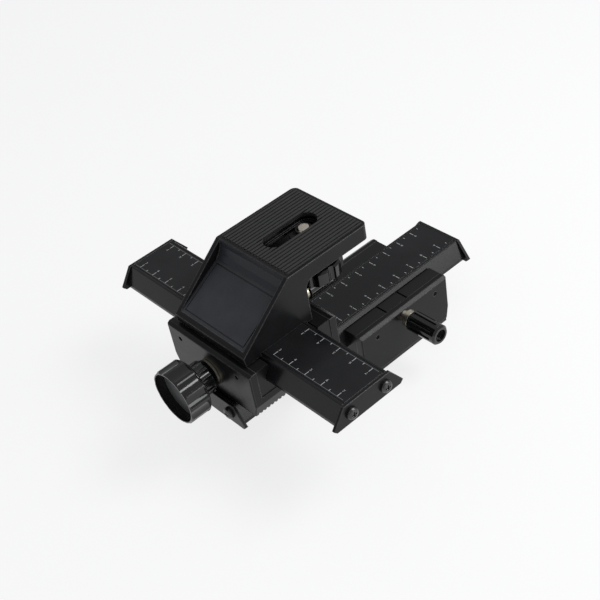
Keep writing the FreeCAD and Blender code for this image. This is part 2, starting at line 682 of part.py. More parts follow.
def rail(stage):
    """Dovetail rail with a groove for the rack, fine grooves beside the scales and screw holes."""
    body = new_body()
    bevel_foot = f"{RAIL_TOP} - dims.rail_bevel"
    half_top = "dims.rail_top_width / 2"
    half_base = "dims.rail_base_width / 2"
    flange_top = f"{RAIL_FOOT} + dims.rail_flange"
    section = outline(body, "YZ_Plane", [
        (f"-{half_base}", RAIL_FOOT), (half_base, RAIL_FOOT), (half_base, flange_top),
        (half_top, bevel_foot), (f"{half_top} - dims.rail_bevel", RAIL_TOP),
        (f"-({half_top} - dims.rail_bevel)", RAIL_TOP), (f"-{half_top}", bevel_foot),
        (f"-{half_base}", flange_top)])
    pad(body, section, "dims.rail_length", symmetric=True)
    rail_end, top = value(RAIL_END), value(RAIL_TOP)
    soften(body, "Chamfer", "dims.rail_end_bevel",
           lambda middle, run: near(abs(middle.x), rail_end) and near(middle.z, top))
    rack_groove = rectangle(body, "YZ_Plane", "-dims.gear_width / 2", f"{RAIL_FOOT} - dims.overcut",
                            "dims.gear_width / 2", f"{RAIL_FOOT} + dims.rack_inset")
    pocket(body, rack_groove, f"dims.rail_length + {PAST_BOTH}", symmetric=True)
    for side in ("", "-"):
        middle = f"{side}dims.scale_groove_place"
        groove = rectangle(body, "YZ_Plane", f"{middle} - dims.scale_groove_width / 2",
                           f"{RAIL_TOP} - dims.scale_groove_depth",
                           f"{middle} + dims.scale_groove_width / 2", f"{RAIL_TOP} + dims.overcut")
        pocket(body, groove, f"dims.rail_length + {PAST_BOTH}", symmetric=True)
    for end, reverse in (("", False), ("-", True)):
        holes = circles(body, "YZ_Plane", [
            (f"{side}dims.end_screw_place", f"{RAIL_TOP} - dims.end_screw_drop", "dims.end_screw_radius")
            for side in ("", "-")], f"{end}{RAIL_END}")
        pocket(body, holes, "dims.end_screw_depth", reverse=reverse)
    if stage == "lower":
        middle = "dims.cross_place - dims.lower_rail_place"
        screw_places = [(f"{middle} {x} dims.mount_screw_across", f"{y}dims.mount_screw_along")
                        for x in ("+", "-") for y in ("", "-")]
    else:
        screw_places = [(f"{x}dims.bracket_screw_along", "dims.bracket_screw_across")
                        for x in ("", "-")]
    tapped = circles(body, "XY_Plane", [(x, y, "dims.cap_screw_radius") for x, y in screw_places], RAIL_TOP)
    pocket(body, tapped, "dims.cap_screw_grip")
    node(body, f"{stage}_rail", on_rail(stage))


def end_plates(stage, names):
    """Stops screwed on the rail's ends, level with its top and wider than its foot."""
    half_top = "dims.end_plate_top_width / 2"
    half_wide = "dims.end_plate_width / 2"
    corner = "dims.end_plate_corner"
    bottom = f"{RAIL_TOP} - dims.end_plate_height"
    for side, name in zip((-1, 1), names):
        body = new_body()
        section = outline(body, "YZ_Plane", [
            (f"-{half_wide} + {corner}", bottom), (f"{half_wide} - {corner}", bottom),
            (half_wide, f"{bottom} + {corner}"), (half_top, RAIL_TOP), (f"-{half_top}", RAIL_TOP),
            (f"-{half_wide}", f"{bottom} + {corner}")])
        pad(body, section, "dims.end_plate_thickness", symmetric=True)
        holes = circles(body, "YZ_Plane", [
            (f"{y}dims.end_screw_place", f"{RAIL_TOP} - dims.end_screw_drop", "dims.end_screw_radius")
            for y in ("", "-")])
        pocket(body, holes, f"dims.end_plate_thickness + {PAST_BOTH}", symmetric=True)
        along = side * value(f"{RAIL_END} + dims.end_plate_thickness / 2")
        node(body, f"{stage}_end_plate_{name}", on_rail(stage).multiply(at(along=along)))


def end_screws(stage, template):
    """Four pan-head screws, two in each end plate."""
    height = value(f"{RAIL_TOP} - dims.end_screw_drop")
    face = value(f"{RAIL_END} + dims.end_plate_thickness")
    places = []
    for side in (-1, 1):
        outwards = Rotation(Vector(0, 1, 0), 90 * side)
        for across in (-1, 1):
            place = at(side * face, across * value("dims.end_screw_place"), height, outwards)
            places.append(on_rail(stage).multiply(place))
    copies(f"{stage}_end_screws", template, places)


def rack(stage):
    """Toothed bar under the rail, in mesh with the pinion at rest."""
    body = new_body()
    pitch = "(pi * dims.gear_module)"
    tip = f"({PITCH_LINE} - dims.gear_module)"
    root = f"({PITCH_LINE} + dims.gear_root * dims.gear_module)"
    lean = "tan(dims.pressure_angle * 1 deg)"
    rail_from_drive = value("-dims.drive_place") + RAIL_PLACE[stage]
    half_bar = value("dims.rack_length / 2")
    teeth_left = int((half_bar - rail_from_drive) / value(pitch))
    teeth_right = int((half_bar + rail_from_drive) / value(pitch))
    bar = rectangle(body, "XZ_Plane", f"{rail_from_drive} - dims.rack_length / 2", tip,
                    f"{rail_from_drive} + dims.rack_length / 2", f"{RAIL_FOOT} + dims.rack_inset")
    pad(body, bar, "dims.gear_width", symmetric=True)
    first = f"(-{teeth_left} * {pitch})"
    at_tip = f"({pitch} / 4 + dims.gear_module * {lean} + dims.gear_backlash / 2)"
    at_root = f"({pitch} / 4 - dims.gear_root * dims.gear_module * {lean} + dims.gear_backlash / 2)"
    gap = outline(body, "XZ_Plane", [
        (f"{first} - {at_tip}", tip), (f"{first} + {at_tip}", tip),
        (f"{first} + {at_root}", root), (f"{first} - {at_root}", root)])
    cut = pocket(body, gap, f"dims.gear_width + {PAST_BOTH}", symmetric=True)
    linear(body, cut, "X_Axis", pitch, str(teeth_left + teeth_right + 1))
    node(body, f"{stage}_rack", STAGE[stage].multiply(at(along=value("dims.drive_place"))))


# ---------------------------------------------------------------- drives and locks

def pinion(stage):
    """Involute pinion; one of its teeth points up into the rack."""
    module = value("dims.gear_module")
    teeth = int(value("dims.pinion_teeth"))
    pitch_radius = module * teeth / 2
    pressure_angle = math.radians(value("dims.pressure_angle"))
    base_radius = pitch_radius * math.cos(pressure_angle)
    root_radius = pitch_radius - value("dims.gear_root") * module
    tip_radius = pitch_radius + value("dims.gear_tip") * module
    involute = math.tan(pressure_angle) - pressure_angle
    half_tooth = math.pi / (2 * teeth) - value("dims.gear_backlash") / (2 * pitch_radius)
    flank = [(root_radius, half_tooth + involute)]
    for step in range(FLANK_POINTS):
        radius = base_radius + (tip_radius - base_radius) * step / (FLANK_POINTS - 1)
        angle = math.acos(base_radius / radius)
        flank.append((radius, half_tooth + involute - (math.tan(angle) - angle)))
    width = value("dims.gear_width")
    points = []
    for tooth in range(teeth):
        middle = math.pi / 2 + 2 * math.pi * tooth / teeth
        right = [(radius, middle - half) for radius, half in flank]
        left = [(radius, middle + half) for radius, half in reversed(flank)]
        for radius, angle in right + left:
            points.append(Vector(radius * math.cos(angle), radius * math.sin(angle), -width / 2))
    blank = Part.Face(Part.makePolygon(points + points[:1])).extrude(Vector(0, 0, width))
    bore = Part.makeCylinder(value("dims.shaft_radius"), width, Vector(0, 0, -width / 2))
    piece = doc.addObject("Part::Feature", "Pinion")
    piece.Shape = blank.cut(bore)
    node(piece, f"{stage}_pinion", drive_axis(stage))


def drive_shaft(stage):
    """Steel shaft from the inner boss into the drive knob."""
    shaft = doc.addObject("Part::Cylinder", "Shaft")
    shaft.setExpression("Radius", "dims.shaft_radius")
    shaft.setExpression("Height", f"{DRIVE_FACE} + dims.hub_length + dims.boss_end - dims.shaft_end_gap")
    start = at(height=value("dims.shaft_end_gap - dims.boss_end"))
    node(shaft, f"{stage}_drive_shaft", drive_axis(stage).multiply(start))


def drive_washer(stage):
    """Pale washer between the carriage's side and the drive knob."""
    body = new_body()
    ring(body, "dims.shaft_radius", "dims.drive_washer_radius", f"{HALF_WIDTH} + dims.washer_gap",
         "dims.washer_thickness")
    node(body, f"{stage}_drive_washer", drive_axis(stage))


def lock_washer(stage):
    """Pale washer with a neck between the carriage's side and the lock knob."""
    body = new_body()
    start = f"{HALF_WIDTH} + dims.washer_gap"
    collar = f"{start} + dims.lock_neck_length"
    wide, bevel = "dims.lock_washer_radius", "dims.lock_washer_bevel"
    revolve(body, [
        ("dims.stud_radius", start), ("dims.lock_neck_radius", start), ("dims.lock_neck_radius", collar),
        (f"{wide} - {bevel}", collar), (wide, f"{collar} + {bevel}"), (wide, f"{LOCK_FACE} - {bevel}"),
        (f"{wide} - {bevel}", LOCK_FACE), ("dims.stud_radius", LOCK_FACE)])
    node(body, f"{stage}_lock_washer", lock_axis(stage))


def drive_knob(stage):
    """Knob with a narrow hub, a wide fluted head and a recess in its end."""
    body = new_body()
    start = DRIVE_FACE
    shoulder = f"({DRIVE_FACE} + dims.hub_length)"
    end = f"({DRIVE_FACE} + dims.hub_length + dims.knob_length)"
    bevel = "dims.edge_bevel"
    hub_start = f"{start} + dims.hub_collar + dims.hub_bevel"
    revolve(body, [
        ("dims.shaft_radius", start), ("dims.hub_collar_radius", start),
        ("dims.hub_collar_radius", f"{start} + dims.hub_collar"),
        ("dims.hub_radius", hub_start), ("dims.hub_radius", shoulder),
        (f"dims.knob_radius - {bevel}", shoulder), ("dims.knob_radius", f"{shoulder} + {bevel}"),
        ("dims.knob_radius", f"{end} - dims.knob_bevel_along"),
        ("dims.knob_radius - dims.knob_bevel_run", end), ("dims.knob_radius - dims.knob_rim", end),
        ("dims.knob_radius - dims.knob_rim", f"{end} - dims.knob_recess"),
        ("0", f"{end} - dims.knob_recess"), ("0", shoulder), ("dims.shaft_radius", shoulder)])
    cosine, sine = "cos(dims.knob_flute_turn * 1 deg)", "sin(dims.knob_flute_turn * 1 deg)"
    place = "(dims.knob_radius + dims.knob_flute_radius - dims.knob_flute_depth)"
    flute = circles(body, "XY_Plane",
                    [(f"{place} * {cosine}", f"{place} * {sine}", "dims.knob_flute_radius")],
                    f"{shoulder} + dims.knob_rear_ring")
    polar(body, pocket(body, flute, "dims.knob_length", reverse=True), "dims.knob_flutes")
    place = "(dims.hub_radius + dims.hub_flute_radius - dims.hub_flute_depth)"
    hub_flute = circles(body, "XY_Plane",
                        [(f"{place} * {cosine}", f"{place} * {sine}", "dims.hub_flute_radius")],
                        hub_start)
    cut = pocket(body, hub_flute, "dims.hub_length - dims.hub_collar - dims.hub_bevel", reverse=True)
    polar(body, cut, "dims.knob_flutes")
    node(body, f"{stage}_drive_knob", drive_axis(stage))


def knob_cap(stage):
    """Disc in the knob's recess."""
    body = new_body()
    disc = circles(body, "XY_Plane", [("0", "0", "dims.knob_radius - dims.knob_rim")],
                   f"{DRIVE_FACE} + dims.hub_length + dims.knob_length - dims.knob_recess")
    pad(body, disc, "dims.knob_cap_thickness")
    node(body, f"{stage}_knob_cap", drive_axis(stage))


def lock_stud(stage):
    """Threaded stud between the lock knob and the clamp shoe."""
    stud = doc.addObject("Part::Cylinder", "Stud")
    shoe_back = f"({CHANNEL} - dims.shoe_travel)"
    stud.setExpression("Radius", "dims.stud_radius")
    stud.setExpression(
        "Height", f"{LOCK_FACE} + dims.lock_knob_length / 2 - {shoe_back} - dims.stud_gap")
    start = at(height=value(f"{shoe_back} + dims.stud_gap"))
    node(stud, f"{stage}_lock_stud", lock_axis(stage).multiply(start))


def lock_knob(stage):
    """Slim fluted knob with a recess in its end."""
    body = new_body()
    start = LOCK_FACE
    end = f"({LOCK_FACE} + dims.lock_knob_length)"
    middle = f"({LOCK_FACE} + dims.lock_knob_length / 2)"
    tip = "dims.lock_knob_radius - dims.lock_knob_bevel"
    recess = "dims.lock_knob_recess_radius"
    recess_floor = f"{end} - dims.lock_knob_recess"
    revolve(body, [
        ("dims.stud_radius", start), ("dims.lock_knob_radius - dims.lock_knob_lead", start),
        ("dims.lock_knob_radius", f"{start} + dims.lock_knob_lead"),
        ("dims.lock_knob_radius", f"{end} - dims.lock_knob_bevel"), (tip, end), (recess, end),
        (recess, recess_floor), ("0", recess_floor), ("0", middle), ("dims.stud_radius", middle)])
    flute = circles(body, "XY_Plane", [("dims.lock_knob_radius", "0", "dims.lock_flute_radius")],
                    f"{start} + dims.lock_flute_start")
    flute_length = "dims.lock_knob_length - dims.lock_flute_start - dims.lock_flute_end"
    polar(body, pocket(body, flute, flute_length, reverse=True), "dims.lock_knob_flutes")
    node(body, f"{stage}_lock_knob", lock_axis(stage))


# ---------------------------------------------------------------- camera bracket

def slope_angle():
    """Lean of the bracket's sloping front from the level, in degrees."""
    rise = value("dims.bracket_top - dims.bracket_front_height")
    return math.degrees(math.atan2(rise, value("dims.bracket_brow - dims.bracket_front")))


def tray_frame():
    """Frame on the floor of the tray in the slope: Y up the tray, Z out of it, origin at its foot."""
    slope = at(0, value("dims.bracket_front"), value("dims.bracket_front_height"),
               Rotation(Vector(1, 0, 0), slope_angle()))
    sink = math.degrees(math.atan2(value("dims.tray_depth"), value("dims.tray_end - dims.tray_start")))
    foot = at(0, value("dims.tray_start"), 0, Rotation(Vector(1, 0, 0), -sink))
    return slope.multiply(foot)


def bracket():
    """Open casting with two cheeks, a sloping front, a platform and a floor screwed to the rail."""
    body = new_body()
    run_over_rise = "((dims.bracket_brow - dims.bracket_front)" \
                    " / (dims.bracket_top - dims.bracket_front_height))"
    section = outline(body, "YZ_Plane", [
        ("dims.bracket_front", "dims.bracket_front_height"), ("dims.bracket_brow", "dims.bracket_top"),
        ("dims.bracket_back", "dims.bracket_top"), ("dims.bracket_back", "dims.bracket_underside"),
        ("dims.bracket_rear", "dims.bracket_underside"), ("dims.bracket_rear", "dims.bracket_foot"),
        ("dims.rail_seat_half", "dims.bracket_foot"), ("dims.rail_seat_half", RAIL_TOP),
        ("-dims.rail_seat_half", RAIL_TOP), ("-dims.rail_seat_half", "dims.bracket_foot"),
        ("dims.bracket_front + dims.bracket_front_lean", "dims.bracket_foot")])
    pad(body, section, "dims.bracket_width", symmetric=True)
    rear, back = value("dims.bracket_rear"), value("dims.bracket_back")
    underside = value("dims.bracket_underside")
    soften(body, "Fillet", "dims.bracket_arch",
           lambda middle, run: near(middle.y, rear) and near(middle.z, underside))
    side = rectangle(body, "YZ_Plane", "dims.bracket_rear - dims.overcut", "dims.bracket_side_foot",
                     "dims.bracket_back", "dims.bracket_underside + dims.bracket_arch",
                     f"-{BRACKET_HALF}")
    pad(body, side, "dims.bracket_wall")
    soften(body, "Fillet", "dims.bracket_corner",
           lambda middle, run: near(middle.y, back) and near(abs(middle.x), value(BRACKET_HALF)))

    floor = f"({RAIL_TOP} + dims.bracket_wall)"
    front_inside = f"(dims.bracket_front + dims.slope_panel" \
                   f" + ({floor} - dims.bracket_front_height) * {run_over_rise})"
    brow_inside = f"(dims.bracket_front + dims.slope_panel" \
                  f" + (dims.bracket_ceiling - dims.bracket_front_height) * {run_over_rise})"
    back_inside = "dims.bracket_back - dims.bracket_wall"
    cavity = outline(body, "YZ_Plane", [
        (front_inside, floor), (brow_inside, "dims.bracket_ceiling"),
        (back_inside, "dims.bracket_ceiling"), (back_inside, "dims.bracket_foot - dims.overcut"),
        ("dims.bracket_floor_end", "dims.bracket_foot - dims.overcut"), ("dims.bracket_floor_end", floor)])
    pocket(body, cavity, f"2 * {CAVITY_HALF}", symmetric=True)

    tray = outline(body, "YZ_Plane", [
        ("dims.tray_start", "0"), ("dims.tray_end", "-dims.tray_depth"),
        ("dims.brow_foot", "-dims.brow_foot_depth"), ("dims.brow_middle", "-dims.brow_middle_depth"),
        ("dims.brow_end", "0"), ("dims.brow_end", "dims.overcut"), ("dims.tray_start", "dims.overcut")])
    foot = Vector(value("dims.bracket_front"), value("dims.bracket_front_height"), 0)
    move_sketch(tray, Placement(foot, Rotation(Vector(0, 0, 1), slope_angle())))
    pocket(body, tray, f"2 * {TRAY_HALF}", symmetric=True)
    seat = rectangle(body, "XY_Plane", f"-{TRAY_HALF}", "dims.label_thickness", TRAY_HALF, LABEL_END)
    move_sketch(seat, tray_frame())
    pocket(body, seat, "dims.label_thickness")

    pad_seat = rectangle(body, "XY_Plane", f"-{BRACKET_HALF} + dims.pad_border",
                         "dims.bracket_brow + dims.pad_border", f"{BRACKET_HALF} - dims.pad_border",
                         "dims.bracket_back - dims.pad_border", "dims.bracket_top")
    pocket(body, pad_seat, "dims.pad_inset")
    wide = slot_outline(body, "dims.slot_middle", "dims.slot_width", "dims.slot_length", "dims.bracket_top")
    pocket(body, wide, "dims.slot_step")
    narrow = slot_outline(body, "dims.slot_middle", "dims.guide_slot_width", "dims.guide_slot_length",
                          "dims.bracket_top")
    pocket(body, narrow, "dims.bracket_top - dims.bracket_ceiling + dims.overcut")
    screw_holes = circles(body, "XY_Plane", [
        (f"{x}dims.bracket_screw_along", "dims.bracket_screw_across", "dims.cap_screw_radius")
        for x in ("", "-")], floor)
    pocket(body, screw_holes, "dims.bracket_wall + dims.overcut")
    node(body, "bracket", on_rail("upper"))


def label_plate():
    """Plain plate in the bracket's tray, with a groove round its face."""
    body = new_body()
    face = rectangle(body, "XY_Plane", f"-{TRAY_HALF}", "dims.label_thickness", TRAY_HALF, LABEL_END,
                     "-dims.label_thickness")
    pad(body, face, "dims.label_thickness")
    sketch = new_sketch(body, "XY_Plane", "0")
    for index, inset in enumerate(("dims.label_frame", "dims.label_frame + dims.label_groove")):
        left, right = f"-{TRAY_HALF} + {inset}", f"{TRAY_HALF} - ({inset})"
        low, high = f"dims.label_thickness + {inset}", f"{LABEL_END} - ({inset})"
        corners = [(left, low), (right, low), (right, high), (left, high)]
        points = [Vector(value(x), value(y), 0) for x, y in corners]
        first = 4 * index
        for side in range(4):
            sketch.addGeometry(Part.LineSegment(points[side], points[(side + 1) % 4]), False)
        for side, (x, y) in enumerate(corners):
            following = first + (side + 1) % 4
            sketch.addConstraint(Sketcher.Constraint("Coincident", first + side, 2, following, 1))
            bind(sketch, "DistanceX", first + side, x, point=1)
            bind(sketch, "DistanceY", first + side, y, point=1)
    pocket(body, sketch, "dims.label_groove_depth")
    node(body, "label_plate", on_rail("upper").multiply(tray_frame()))


def platform_pad():
    """Ribbed rubber on the platform, open over the slot."""
    body = new_body()
    left = f"(-{BRACKET_HALF} + dims.pad_border)"
    right = f"({BRACKET_HALF} - dims.pad_border)"
    low = "dims.bracket_brow + dims.pad_border"
    high = "dims.bracket_back - dims.pad_border"
    block = rectangle(body, "XY_Plane", left, low, right, high, "dims.bracket_top - dims.pad_inset")
    pad(body, block, "dims.pad_thickness")
    opening = slot_outline(body, "dims.slot_middle", "dims.slot_width", "dims.slot_length", PAD_TOP)
    pocket(body, opening, "dims.pad_thickness")
    count = groove_count("(dims.bracket_width - 2 * dims.pad_border)", "dims.pad_rib_pitch",
                         "dims.pad_rib_groove")
    first = f"(-dims.pad_rib_pitch * ({count} - 1) / 2)"
    groove = rectangle(body, "XZ_Plane", f"{first} - dims.pad_rib_groove / 2",
                       f"{PAD_TOP} - dims.pad_rib_depth", f"{first} + dims.pad_rib_groove / 2",
                       f"{PAD_TOP} + dims.overcut", "-dims.bracket_brow")
    cut = pocket(body, groove, "dims.bracket_back - dims.bracket_brow")
    linear(body, cut, "X_Axis", "dims.pad_rib_pitch", str(count))
    node(body, "platform_pad", on_rail("upper"))


def screw_frame():
    """Frame on the camera screw's axis."""
    return on_rail("upper").multiply(at(across=value("dims.screw_place")))


def slot_guide():
    """Flanged nylon guide that runs in the slot and carries the camera screw."""
    body = new_body()
    bore = "(dims.screw_radius + dims.screw_clearance)"
    under = "(dims.bracket_ceiling - dims.washer_gap)"
    revolve(body, [
        (bore, f"{under} - dims.guide_flange"), ("dims.guide_flange_radius", f"{under} - dims.guide_flange"),
        ("dims.guide_flange_radius", under), ("dims.guide_radius", under),
        ("dims.guide_radius", "dims.bracket_top - dims.slot_step"),
        (bore, "dims.bracket_top - dims.slot_step")])
    node(body, "slot_guide", screw_frame())


def camera_screw():
    """Camera screw with a bevelled tip."""
    body = new_body()
    start = "dims.wheel_underside + dims.wheel_floor"
    revolve(body, [
        ("0", start), ("dims.screw_radius", start),
        ("dims.screw_radius", "dims.screw_tip - dims.screw_bevel"),
        ("dims.screw_radius - dims.screw_bevel", "dims.screw_tip"), ("0", "dims.screw_tip")])
    node(body, "camera_screw", screw_frame())


def thumb_wheel():
    """Lobed wheel that turns the camera screw."""
    body = new_body()
    low = "dims.wheel_underside"
    rim = "(dims.wheel_underside + dims.wheel_height)"
    hub = "(dims.wheel_underside + dims.wheel_height + dims.wheel_hub_height)"
    bevel, screw_end = "dims.wheel_bevel", f"{low} + dims.wheel_floor"
    revolve(body, [
        ("0", low), (f"dims.wheel_radius - {bevel}", low), ("dims.wheel_radius", f"{low} + {bevel}"),
        ("dims.wheel_radius", f"{rim} - {bevel}"), (f"dims.wheel_radius - {bevel}", rim),
        ("dims.wheel_hub_radius", rim), ("dims.wheel_hub_radius", hub),
        ("dims.screw_radius", hub), ("dims.screw_radius", screw_end), ("0", screw_end)])
    notch = circles(body, "XY_Plane", [("dims.wheel_notch_place", "0", "dims.wheel_notch_radius")],
                    f"{low} - dims.overcut")
    cut = pocket(body, notch, f"dims.wheel_height + {PAST_BOTH}", reverse=True)
    polar(body, cut, "dims.wheel_lobes")
    node(body, "thumb_wheel", screw_frame())


def thrust_washer():
    """Loose washer between the thumb wheel's hub and the guide."""
    body = new_body()
    start = "dims.wheel_underside + dims.wheel_height + dims.wheel_hub_height + dims.washer_gap"
    ring(body, "dims.screw_radius + dims.screw_clearance", "dims.thrust_washer_radius", start,
         "dims.thrust_washer_thickness")
    node(body, "thrust_washer", screw_frame())


# ---------------------------------------------------------------- fasteners

def end_screw():
    """Pan-head screw with a cross recess; its head stands on z = 0."""
    body = new_body()
    shank, head = "dims.end_screw_radius", "dims.end_screw_head_radius"
    tall = "dims.end_screw_head_height"
    tip = "-dims.end_plate_thickness - dims.end_screw_depth"
    revolve(body, [("0", tip), (shank, tip), (shank, "0"), (head, "0"), (head, "dims.end_screw_head_side"),
                   ("dims.end_screw_dome_radius", "dims.end_screw_dome_height"),
                   ("dims.end_screw_crown_radius", tall), ("0", tall)])
    sizes = ("dims.end_screw_cross_length / 2", "dims.end_screw_cross_width / 2")
    for half_x, half_y in (sizes, sizes[::-1]):
        bar = rectangle(body, "XY_Plane", f"-{half_x}", f"-{half_y}", half_x, half_y, tall)
        pocket(body, bar, "dims.end_screw_cross_depth")
    return body


def cap_screw(through):
    """Socket-head screw; its head stands on z = 0 and its shank goes through a wall so thick."""
    body = new_body()
    shank, head, tall = "dims.cap_screw_radius", "dims.cap_head_radius", "dims.cap_head_height"
    tip = f"-{through} - dims.cap_screw_grip + dims.tapped_hole_spare"
    revolve(body, [("0", tip), (shank, tip), (shank, "0"), (head, "0"), (head, tall), ("0", tall)])
    pocket(body, circles(body, "XY_Plane", [("0", "0", "dims.cap_socket_radius")], tall),
           "dims.cap_socket_depth")
    return body


def set_screw():
    """Set screw from z = 0 up, with a socket in its outer end."""
    body = new_body()
    shank, tall = "dims.gib_screw_radius", "dims.gib_screw_length"
    revolve(body, [("0", "0"), (shank, "0"), (shank, tall), ("0", tall)])
    pocket(body, circles(body, "XY_Plane", [("0", "0", "dims.gib_socket_radius")], tall),
           "dims.gib_socket_depth")
    return body


def mount_screws(template):
    """Four cap screws that hold the upper carriage on the lower rail."""
    places = [at(x * value("dims.mount_screw_along"), y * value("dims.mount_screw_across"),
                 value("dims.mount_seat")) for x in (-1, 1) for y in (-1, 1)]
    copies("cross_mount_screws", template, [STAGE["upper"].multiply(place) for place in places])


def bracket_screws(template):
    """Two cap screws that hold the bracket on the upper rail."""
    places = [at(x * value("dims.bracket_screw_along"), value("dims.bracket_screw_across"),
                 value(f"{RAIL_TOP} + dims.bracket_wall")) for x in (-1, 1)]
    copies("bracket_screws", template, [on_rail("upper").multiply(place) for place in places])


# ---------------------------------------------------------------- the whole part

end_screw_shape = end_screw()
set_screw_shape = set_screw()
base_pad()
tripod_bush("tripod_bush_small", "dims.bush_place", "dims.small_socket_radius")
tripod_bush("tripod_bush_large", "-dims.bush_place", "dims.large_socket_radius")
for stage, plate_names in (("lower", ("back", "front")), ("upper", ("left", "right"))):
    carriage(stage)
    gibs(stage)
    clamp_shoe(stage)
    gib_screws(stage, set_screw_shape)
    drive_bushes(stage)
    rail(stage)
    rack(stage)
    end_plates(stage, plate_names)
    end_screws(stage, end_screw_shape)
    pinion(stage)
    drive_shaft(stage)
    drive_washer(stage)
    drive_knob(stage)
    knob_cap(stage)
    lock_washer(stage)
    lock_stud(stage)
    lock_knob(stage)
mount_screws(cap_screw("dims.mount_seat"))
bracket()
bracket_screws(cap_screw("dims.bracket_wall"))
label_plate()
platform_pad()
slot_guide()
camera_screw()
thumb_wheel()
thrust_washer()

doc.recompute()
for item in doc.Objects:
    if "Invalid" in item.State or "Error" in item.State:
        raise RuntimeError(f"{item.Label} failed: {item.State}")
for piece in nodes:
    if piece.Shape.isNull() or not piece.Shape.isValid():
        raise RuntimeError(f"{piece.Label} has no valid shape")

os.makedirs("parts", exist_ok=True)
for piece in nodes:
    piece.Shape.exportStep(f"parts/{piece.Label}.step")
print(len(nodes), "nodes")
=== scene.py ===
"""Looks of a two-way macro focusing rail: camera, light, materials, scale marks and screw threads.

All lengths are metres in the row frame: the base's underside is z = 0, the lower rail runs along Y and
the upper one along X.
"""

import math

import bmesh
import bpy
from mathutils import Matrix, Vector


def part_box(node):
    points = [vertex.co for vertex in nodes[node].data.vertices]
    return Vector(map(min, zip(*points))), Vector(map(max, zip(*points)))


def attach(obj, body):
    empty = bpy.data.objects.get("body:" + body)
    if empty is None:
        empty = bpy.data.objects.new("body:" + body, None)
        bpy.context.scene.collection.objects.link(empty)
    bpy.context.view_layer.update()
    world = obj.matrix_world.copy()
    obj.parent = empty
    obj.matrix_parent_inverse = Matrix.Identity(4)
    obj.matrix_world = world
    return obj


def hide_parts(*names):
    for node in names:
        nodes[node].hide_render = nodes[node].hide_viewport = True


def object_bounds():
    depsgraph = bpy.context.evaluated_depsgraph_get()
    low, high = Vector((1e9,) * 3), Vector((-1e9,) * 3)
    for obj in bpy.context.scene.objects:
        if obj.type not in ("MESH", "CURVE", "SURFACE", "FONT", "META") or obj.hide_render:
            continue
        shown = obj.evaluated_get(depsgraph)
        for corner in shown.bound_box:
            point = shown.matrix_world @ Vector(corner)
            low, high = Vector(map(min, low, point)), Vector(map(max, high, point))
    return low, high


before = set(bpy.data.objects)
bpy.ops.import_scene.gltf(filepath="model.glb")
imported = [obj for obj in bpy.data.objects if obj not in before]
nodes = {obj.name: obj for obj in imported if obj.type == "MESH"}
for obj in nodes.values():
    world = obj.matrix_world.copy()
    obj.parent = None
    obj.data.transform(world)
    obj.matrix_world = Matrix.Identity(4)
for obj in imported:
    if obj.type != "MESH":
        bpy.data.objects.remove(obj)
cad_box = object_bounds()

MM = 0.001
INCH = 25.4 * MM
STAGES = ("lower", "upper")

# ---------------------------------------------------------------- camera

IMAGE = 600                     # pixels, square
SENSOR = 36.0                   # mm
FOCAL_PIXELS = 1129.84
CAMERA_PLACE = Vector((0.3351, -0.2781, 0.3851))
CAMERA_DOWN = math.radians(39.43)
CAMERA_HEADING = math.radians(144.66)
CAMERA_ROLL = math.radians(-11.09)
CAMERA_NEAR = 0.01


def make_camera():
    """Camera above the front right corner, rolled to one side."""
    forward = Vector((math.cos(CAMERA_DOWN) * math.cos(CAMERA_HEADING),
                      math.cos(CAMERA_DOWN) * math.sin(CAMERA_HEADING),
                      -math.sin(CAMERA_DOWN)))
    level = forward.cross(Vector((0, 0, 1))).normalized()
    upright = level.cross(forward)
    right = level * math.cos(CAMERA_ROLL) + upright * math.sin(CAMERA_ROLL)
    up = upright * math.cos(CAMERA_ROLL) - level * math.sin(CAMERA_ROLL)
    data = bpy.data.cameras.new("camera")
    data.sensor_width = SENSOR
    data.lens = SENSOR * FOCAL_PIXELS / IMAGE
    data.clip_start = CAMERA_NEAR
    camera = bpy.data.objects.new("camera", data)
    camera.matrix_world = Matrix((right, up, -forward)).transposed().to_4x4()
    camera.location = CAMERA_PLACE
    bpy.context.scene.collection.objects.link(camera)
    bpy.context.scene.camera = camera


# ---------------------------------------------------------------- light

AIM = Vector((0, -0.03, 0.0327))
LAMP_DISTANCE = 0.9
SURROUND_COLOUR = (0.97, 0.98, 1.0, 1.0)
SURROUND_STRENGTH = 0.5


def softbox(name, direction, width, height, power):
    """Area lamp that looks at the object from a direction; its size is in metres, its power in watts."""
    data = bpy.data.lights.new(name, "AREA")
    data.shape = "RECTANGLE"
    data.size = width
    data.size_y = height
    data.energy = power
    lamp = bpy.data.objects.new(name, data)
    lamp.visible_camera = False
    away = Vector(direction).normalized()
    lamp.location = AIM + away * LAMP_DISTANCE
    lamp.rotation_euler = away.to_track_quat("Z", "Y").to_euler()
    bpy.context.scene.collection.objects.link(lamp)


def make_light():
    """Two soft studio lamps and an even, pale surround."""
    softbox("behind_right", (0.43, 0.45, 0.78), width=0.46, height=0.34, power=4.2)
    softbox("low_right", (0.88, 0.45, 0.20), width=0.60, height=0.28, power=2.2)
    world = bpy.data.worlds.new("surround")
    world.use_nodes = True
    background = world.node_tree.nodes["Background"]
    background.inputs["Color"].default_value = SURROUND_COLOUR
    background.inputs["Strength"].default_value = SURROUND_STRENGTH
    bpy.context.scene.world = world


# ---------------------------------------------------------------- material helpers

BEVEL_SAMPLES = 6
FLAT_COSINE = 0.999             # between the true and the rounded normal, away from an edge
EDGE_COSINE = 0.90              # and at one


